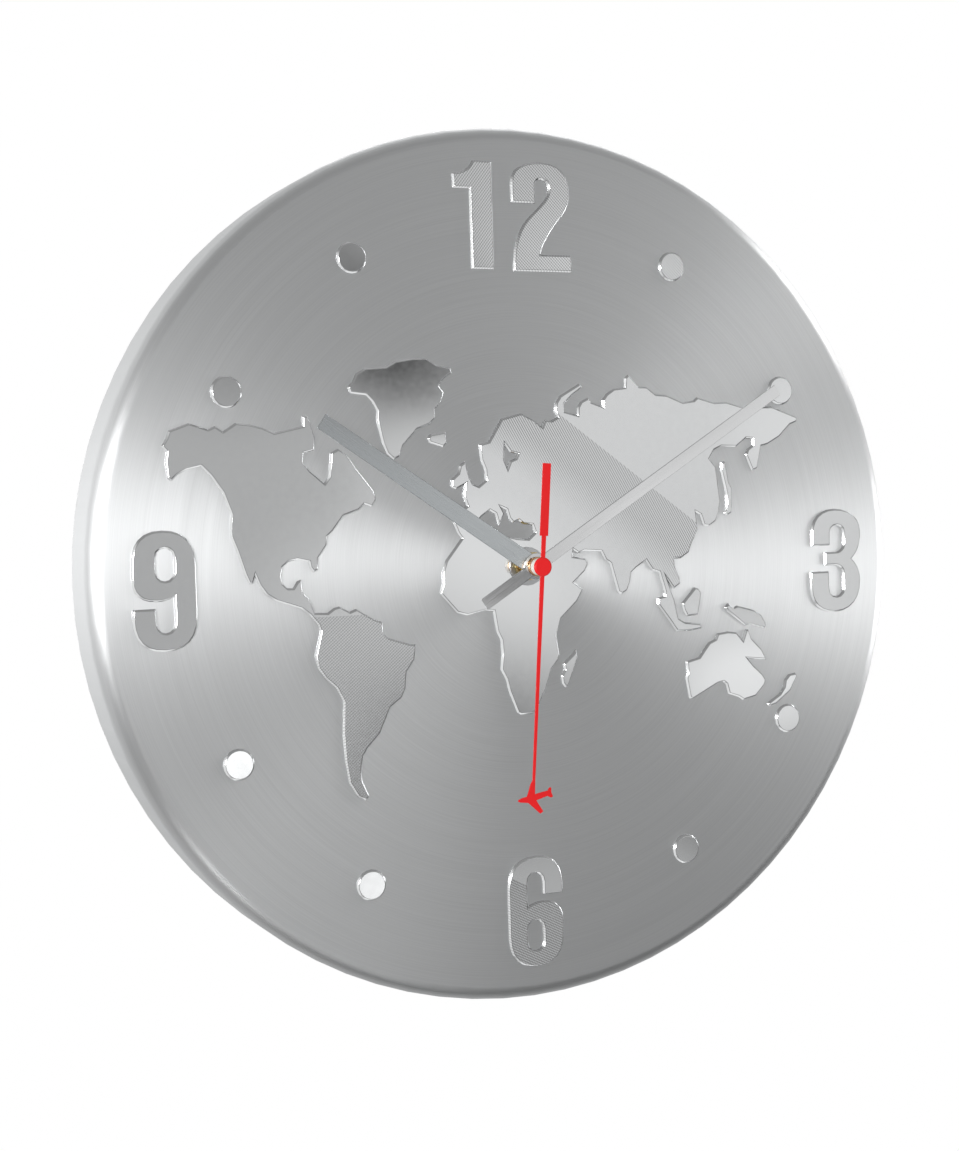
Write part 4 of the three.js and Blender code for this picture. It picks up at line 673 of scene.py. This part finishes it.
def light_only(lamp, names):
    """Keeps the light of a lamp or shell to the named nodes."""
    lit = bpy.data.collections.new(lamp.name + "_receivers")
    for name in names:
        lit.objects.link(nodes[name])
    lamp.light_linking.receiver_collection = lit


def make_tent():
    """A grey tent about the room."""
    _, graph = tent_shell("tent", TENT_RADIUS)
    place = graph.place()
    _, depth, height = graph.axes(place)
    half_rise = TENT_HEIGHT_SHARE * TENT_RADIUS
    half_depth = TENT_DEPTH_SHARE * TENT_RADIUS
    front = graph.spread(height, TENT_LOW, TENT_HIGH, -half_rise, half_rise)
    behind = graph.spread(depth, 0.0, 1.0, -half_depth, half_depth)
    level = graph.math("ADD", front, graph.math("MULTIPLY", behind, TENT_REAR - TENT_LOW))
    glow_and_output(graph, patches_level(graph, place, TENT_RADIUS, TENT_PATCHES, level))


def make_edge_glow():
    """A clear shell inside the tent, which glows for the plates and hands alone."""
    shell, graph = tent_shell("edge_glow", EDGE_GLOW_RADIUS)
    level = patches_level(graph, graph.place(), EDGE_GLOW_RADIUS, EDGE_PATCHES, 0.0)
    glow_and_output(graph, level, clear=True)
    light_only(shell, [name for name in nodes if name.startswith(PLATE_PREFIXES) or name in HANDS])


# Lamps: name, azimuth, elevation, distance, width, height, power in watts.
LAMPS = [
    ("left_softbox", -43, 4, 1.4, 0.7, 0.34, 13.6),
    ("right_softbox", 72, -3, 1.4, 0.6, 0.3, 4.3),
    ("upper_right_softbox", 78, 25, 1.5, 0.4, 0.36, 4.0),
    ("low_lamp", -20, -37, 1.5, 0.12, 0.12, 1.2),
    ("lower_softbox", 4, -42, 1.5, 0.5, 0.3, 0.75),
    ("rear_softbox", 152, 38, 1.6, 1.0, 1.0, 6.5),
]
DISH_ONLY_LAMPS = ("right_softbox", "upper_right_softbox", "low_lamp", "lower_softbox")


def make_lamps():
    for name, azimuth, elevation, distance, width, height, power in LAMPS:
        lamp = bpy.data.lights.new(name, "AREA")
        lamp.shape = "RECTANGLE"
        lamp.size = width
        lamp.size_y = height
        lamp.energy = power
        holder = bpy.data.objects.new(name, lamp)
        outward = direction(azimuth, elevation)
        holder.location = HUB + outward * distance
        holder.rotation_euler = outward.to_track_quat("Z", "Y").to_euler()
        holder.visible_camera = False
        bpy.context.scene.collection.objects.link(holder)
        if name in DISH_ONLY_LAMPS:
            light_only(holder, ["dial_dish"])


def make_camera():
    turn = (
        Matrix.Rotation(CAMERA_ROLL, 3, "Y")
        @ Matrix.Rotation(CAMERA_PITCH, 3, "X")
        @ Matrix.Rotation(CAMERA_YAW, 3, "Z")
    ).transposed()
    offset = Vector((CAMERA_RIGHT, CAMERA_DISTANCE, CAMERA_UP))
    right, forward, up = turn.col
    camera = bpy.data.cameras.new("camera")
    camera.sensor_fit = "VERTICAL"
    camera.sensor_height = SENSOR_MM
    camera.lens = FOCAL_LENGTH_PX / IMAGE_HEIGHT_PX * SENSOR_MM
    camera.clip_start = CAMERA_CLIP_START
    holder = bpy.data.objects.new("camera", camera)
    axes = Matrix((right, up, -forward)).transposed()
    holder.matrix_world = Matrix.Translation(HUB - turn @ offset) @ axes.to_4x4()
    bpy.context.scene.collection.objects.link(holder)
    bpy.context.scene.camera = holder


# Dressing of the CAD nodes

# An edge that turns by more than this is rounded.
EDGE_ANGLE = math.radians(32)
PIERCED_EDGE_ANGLE = math.radians(60)
# Points this close are one, and faces that turn by less than this are one flat face.
WELD_DISTANCE = 0.002 * MM
FLAT_ANGLE = math.radians(0.3)


def dress(name, material, edge=0.0, segments=2, pierced=False):
    """Gives a node its material and smooth shading, and rounds its sharp edges by edge metres. The flat
    faces of a pierced node go back to triangles first, because a bevel folds a face that has holes."""
    node = nodes[name]
    node.data.materials.clear()
    node.data.materials.append(material)
    with bpy.context.temp_override(object=node, active_object=node):
        bpy.ops.mesh.customdata_custom_splitnormals_clear()
    for polygon in node.data.polygons:
        polygon.use_smooth = True
    weld = node.modifiers.new("weld", "WELD")
    weld.merge_threshold = WELD_DISTANCE
    flatten = node.modifiers.new("flatten", "DECIMATE")
    flatten.decimate_type = "DISSOLVE"
    flatten.angle_limit = FLAT_ANGLE
    if pierced:
        node.modifiers.new("triangles", "TRIANGULATE")
    if edge:
        bevel = node.modifiers.new("edge", "BEVEL")
        bevel.width = edge
        bevel.segments = segments
        bevel.limit_method = "ANGLE"
        bevel.angle_limit = PIERCED_EDGE_ANGLE if pierced else EDGE_ANGLE
        bevel.use_clamp_overlap = False
    node.modifiers.new("flat_faces", "WEIGHTED_NORMAL")


# Stripes of painted reflection on the polished pieces, painted as darker lines: their rises and depths, and
# the region where they show, as the rise of its two border lines, their distances from the hub and a fade.
PLATE_PAINTED_STRIPES = {
    "numeral_12_one": (((52, 0.26), (-50, 0.10)), None),
    "numeral_12_two": (((-45, 0.30), (50, 0.12)), None),
    "hour_dot_1": (((-45, 0.28),), None),
    "numeral_6": (((-28, 0.34), (-66, 0.12)), (-28, -200 * MM, -116 * MM, 5 * MM)),
    "map_americas": (((40, 0.22), (-48, 0.10)), (0, -150 * MM, -16 * MM, 5 * MM)),
    "map_eurasia_and_africa": (((-60, 0.48),), (-36.3, 28 * MM, 59 * MM, 16 * MM)),
    "map_new_guinea": (((-40, 0.26),), None),
}


def dress_plates():
    plain = polished_plate("polished_plate")
    for name in nodes:
        if not name.startswith(PLATE_PREFIXES):
            continue
        material = plain
        if name in PLATE_PAINTED_STRIPES:
            stripes, region = PLATE_PAINTED_STRIPES[name]
            material = polished_plate("polished_" + name, stripes, region)
        dress(name, material, edge=0.2 * MM, segments=3)


# Where the hands point, clockwise from 12, and how the minute hand's surface leans.
HOUR_ANGLE = math.radians(303.9)
MINUTE_ANGLE = math.radians(58.5)
MINUTE_LEAN = (-0.07, 0.0, 0.0)
MINUTE_TAIL_LEAN = (-0.03, 0.0, -0.09)


def hand_direction(clock_angle):
    return Vector((math.sin(clock_angle), 0.0, math.cos(clock_angle)))


def dress_hands(white, copper):
    hour_along = hand_direction(HOUR_ANGLE)
    hour_metal = satin_hand("hour_metal", HOUR_COLOR, 0.24, hour_along)
    minute_along = hand_direction(MINUTE_ANGLE)
    leans = {"lean": MINUTE_LEAN, "tail_lean": MINUTE_TAIL_LEAN}
    minute_metal = satin_hand("minute_metal", MINUTE_COLOR, 0.14, minute_along, **leans)
    dress("hour_hand", hour_metal, edge=0.25 * MM, segments=3)
    dress("minute_hand", minute_metal, edge=0.12 * MM)
    dress("seconds_hand", enamel_red(), edge=0.1 * MM)
    for name in HANDS:
        nodes[name].visible_glossy = False
    dress("seconds_hand_sleeve", white, edge=0.15 * MM)
    dress("minute_hand_bush", copper, edge=0.12 * MM)


def dress_movement(white, copper, black, brass):
    steel = turned_metal("steel", STEEL, roughness=0.3)
    rubber = moulded("rubber", RUBBER, roughness=0.8, texture_scale=900.0, texture_depth=0.25)
    board = moulded("board", BOARD_GREEN, roughness=0.4)
    magnet = moulded("magnet", MAGNET_GREY, roughness=0.5)
    knob_plastic = moulded("knob_plastic", KNOB_GREY, roughness=0.45)
    for name in BRASS_PIECES:
        dress(name, brass, edge=0.1 * MM)
    dress("fixing_washer", steel, edge=0.1 * MM)
    dress("rubber_gasket", rubber, edge=0.2 * MM)
    for name in CASE_PIECES:
        dress(name, black, edge=0.2 * MM, pierced=True)
    dress("setting_knob", knob_plastic, edge=0.08 * MM)
    dress("battery_aa", battery_jacket(), edge=0.2 * MM)
    for name in STEEL_PIECES:
        dress(name, steel)
    for name in WHITE_PIECES:
        dress(name, white)
    dress("driver_chip", black)
    dress("coil_winding", copper)
    dress("motor_rotor", magnet)
    dress("circuit_board", board)


def dress_clock():
    brass = turned_metal("brass", BRASS, roughness=0.28)
    copper = turned_metal("copper", COPPER, roughness=0.32)
    black = moulded("black_plastic", BLACK, roughness=0.5)
    white = moulded("white_plastic", WHITE, roughness=0.45)
    dress("dial_dish", brushed_dish(), edge=0.35 * MM)
    dress_plates()
    dress_hands(white, copper)
    dress_movement(white, copper, black, brass)


dress_clock()
# The signs and the thread have the plain plastic and brass that the model comes with.
add_cover_marks(bpy.data.materials["black_plastic"])
add_thread(bpy.data.materials["brass"])
make_world()
make_floor()
make_tent()
make_edge_glow()
make_lamps()
make_camera()
bpy.context.scene.view_settings.view_transform = "Standard"
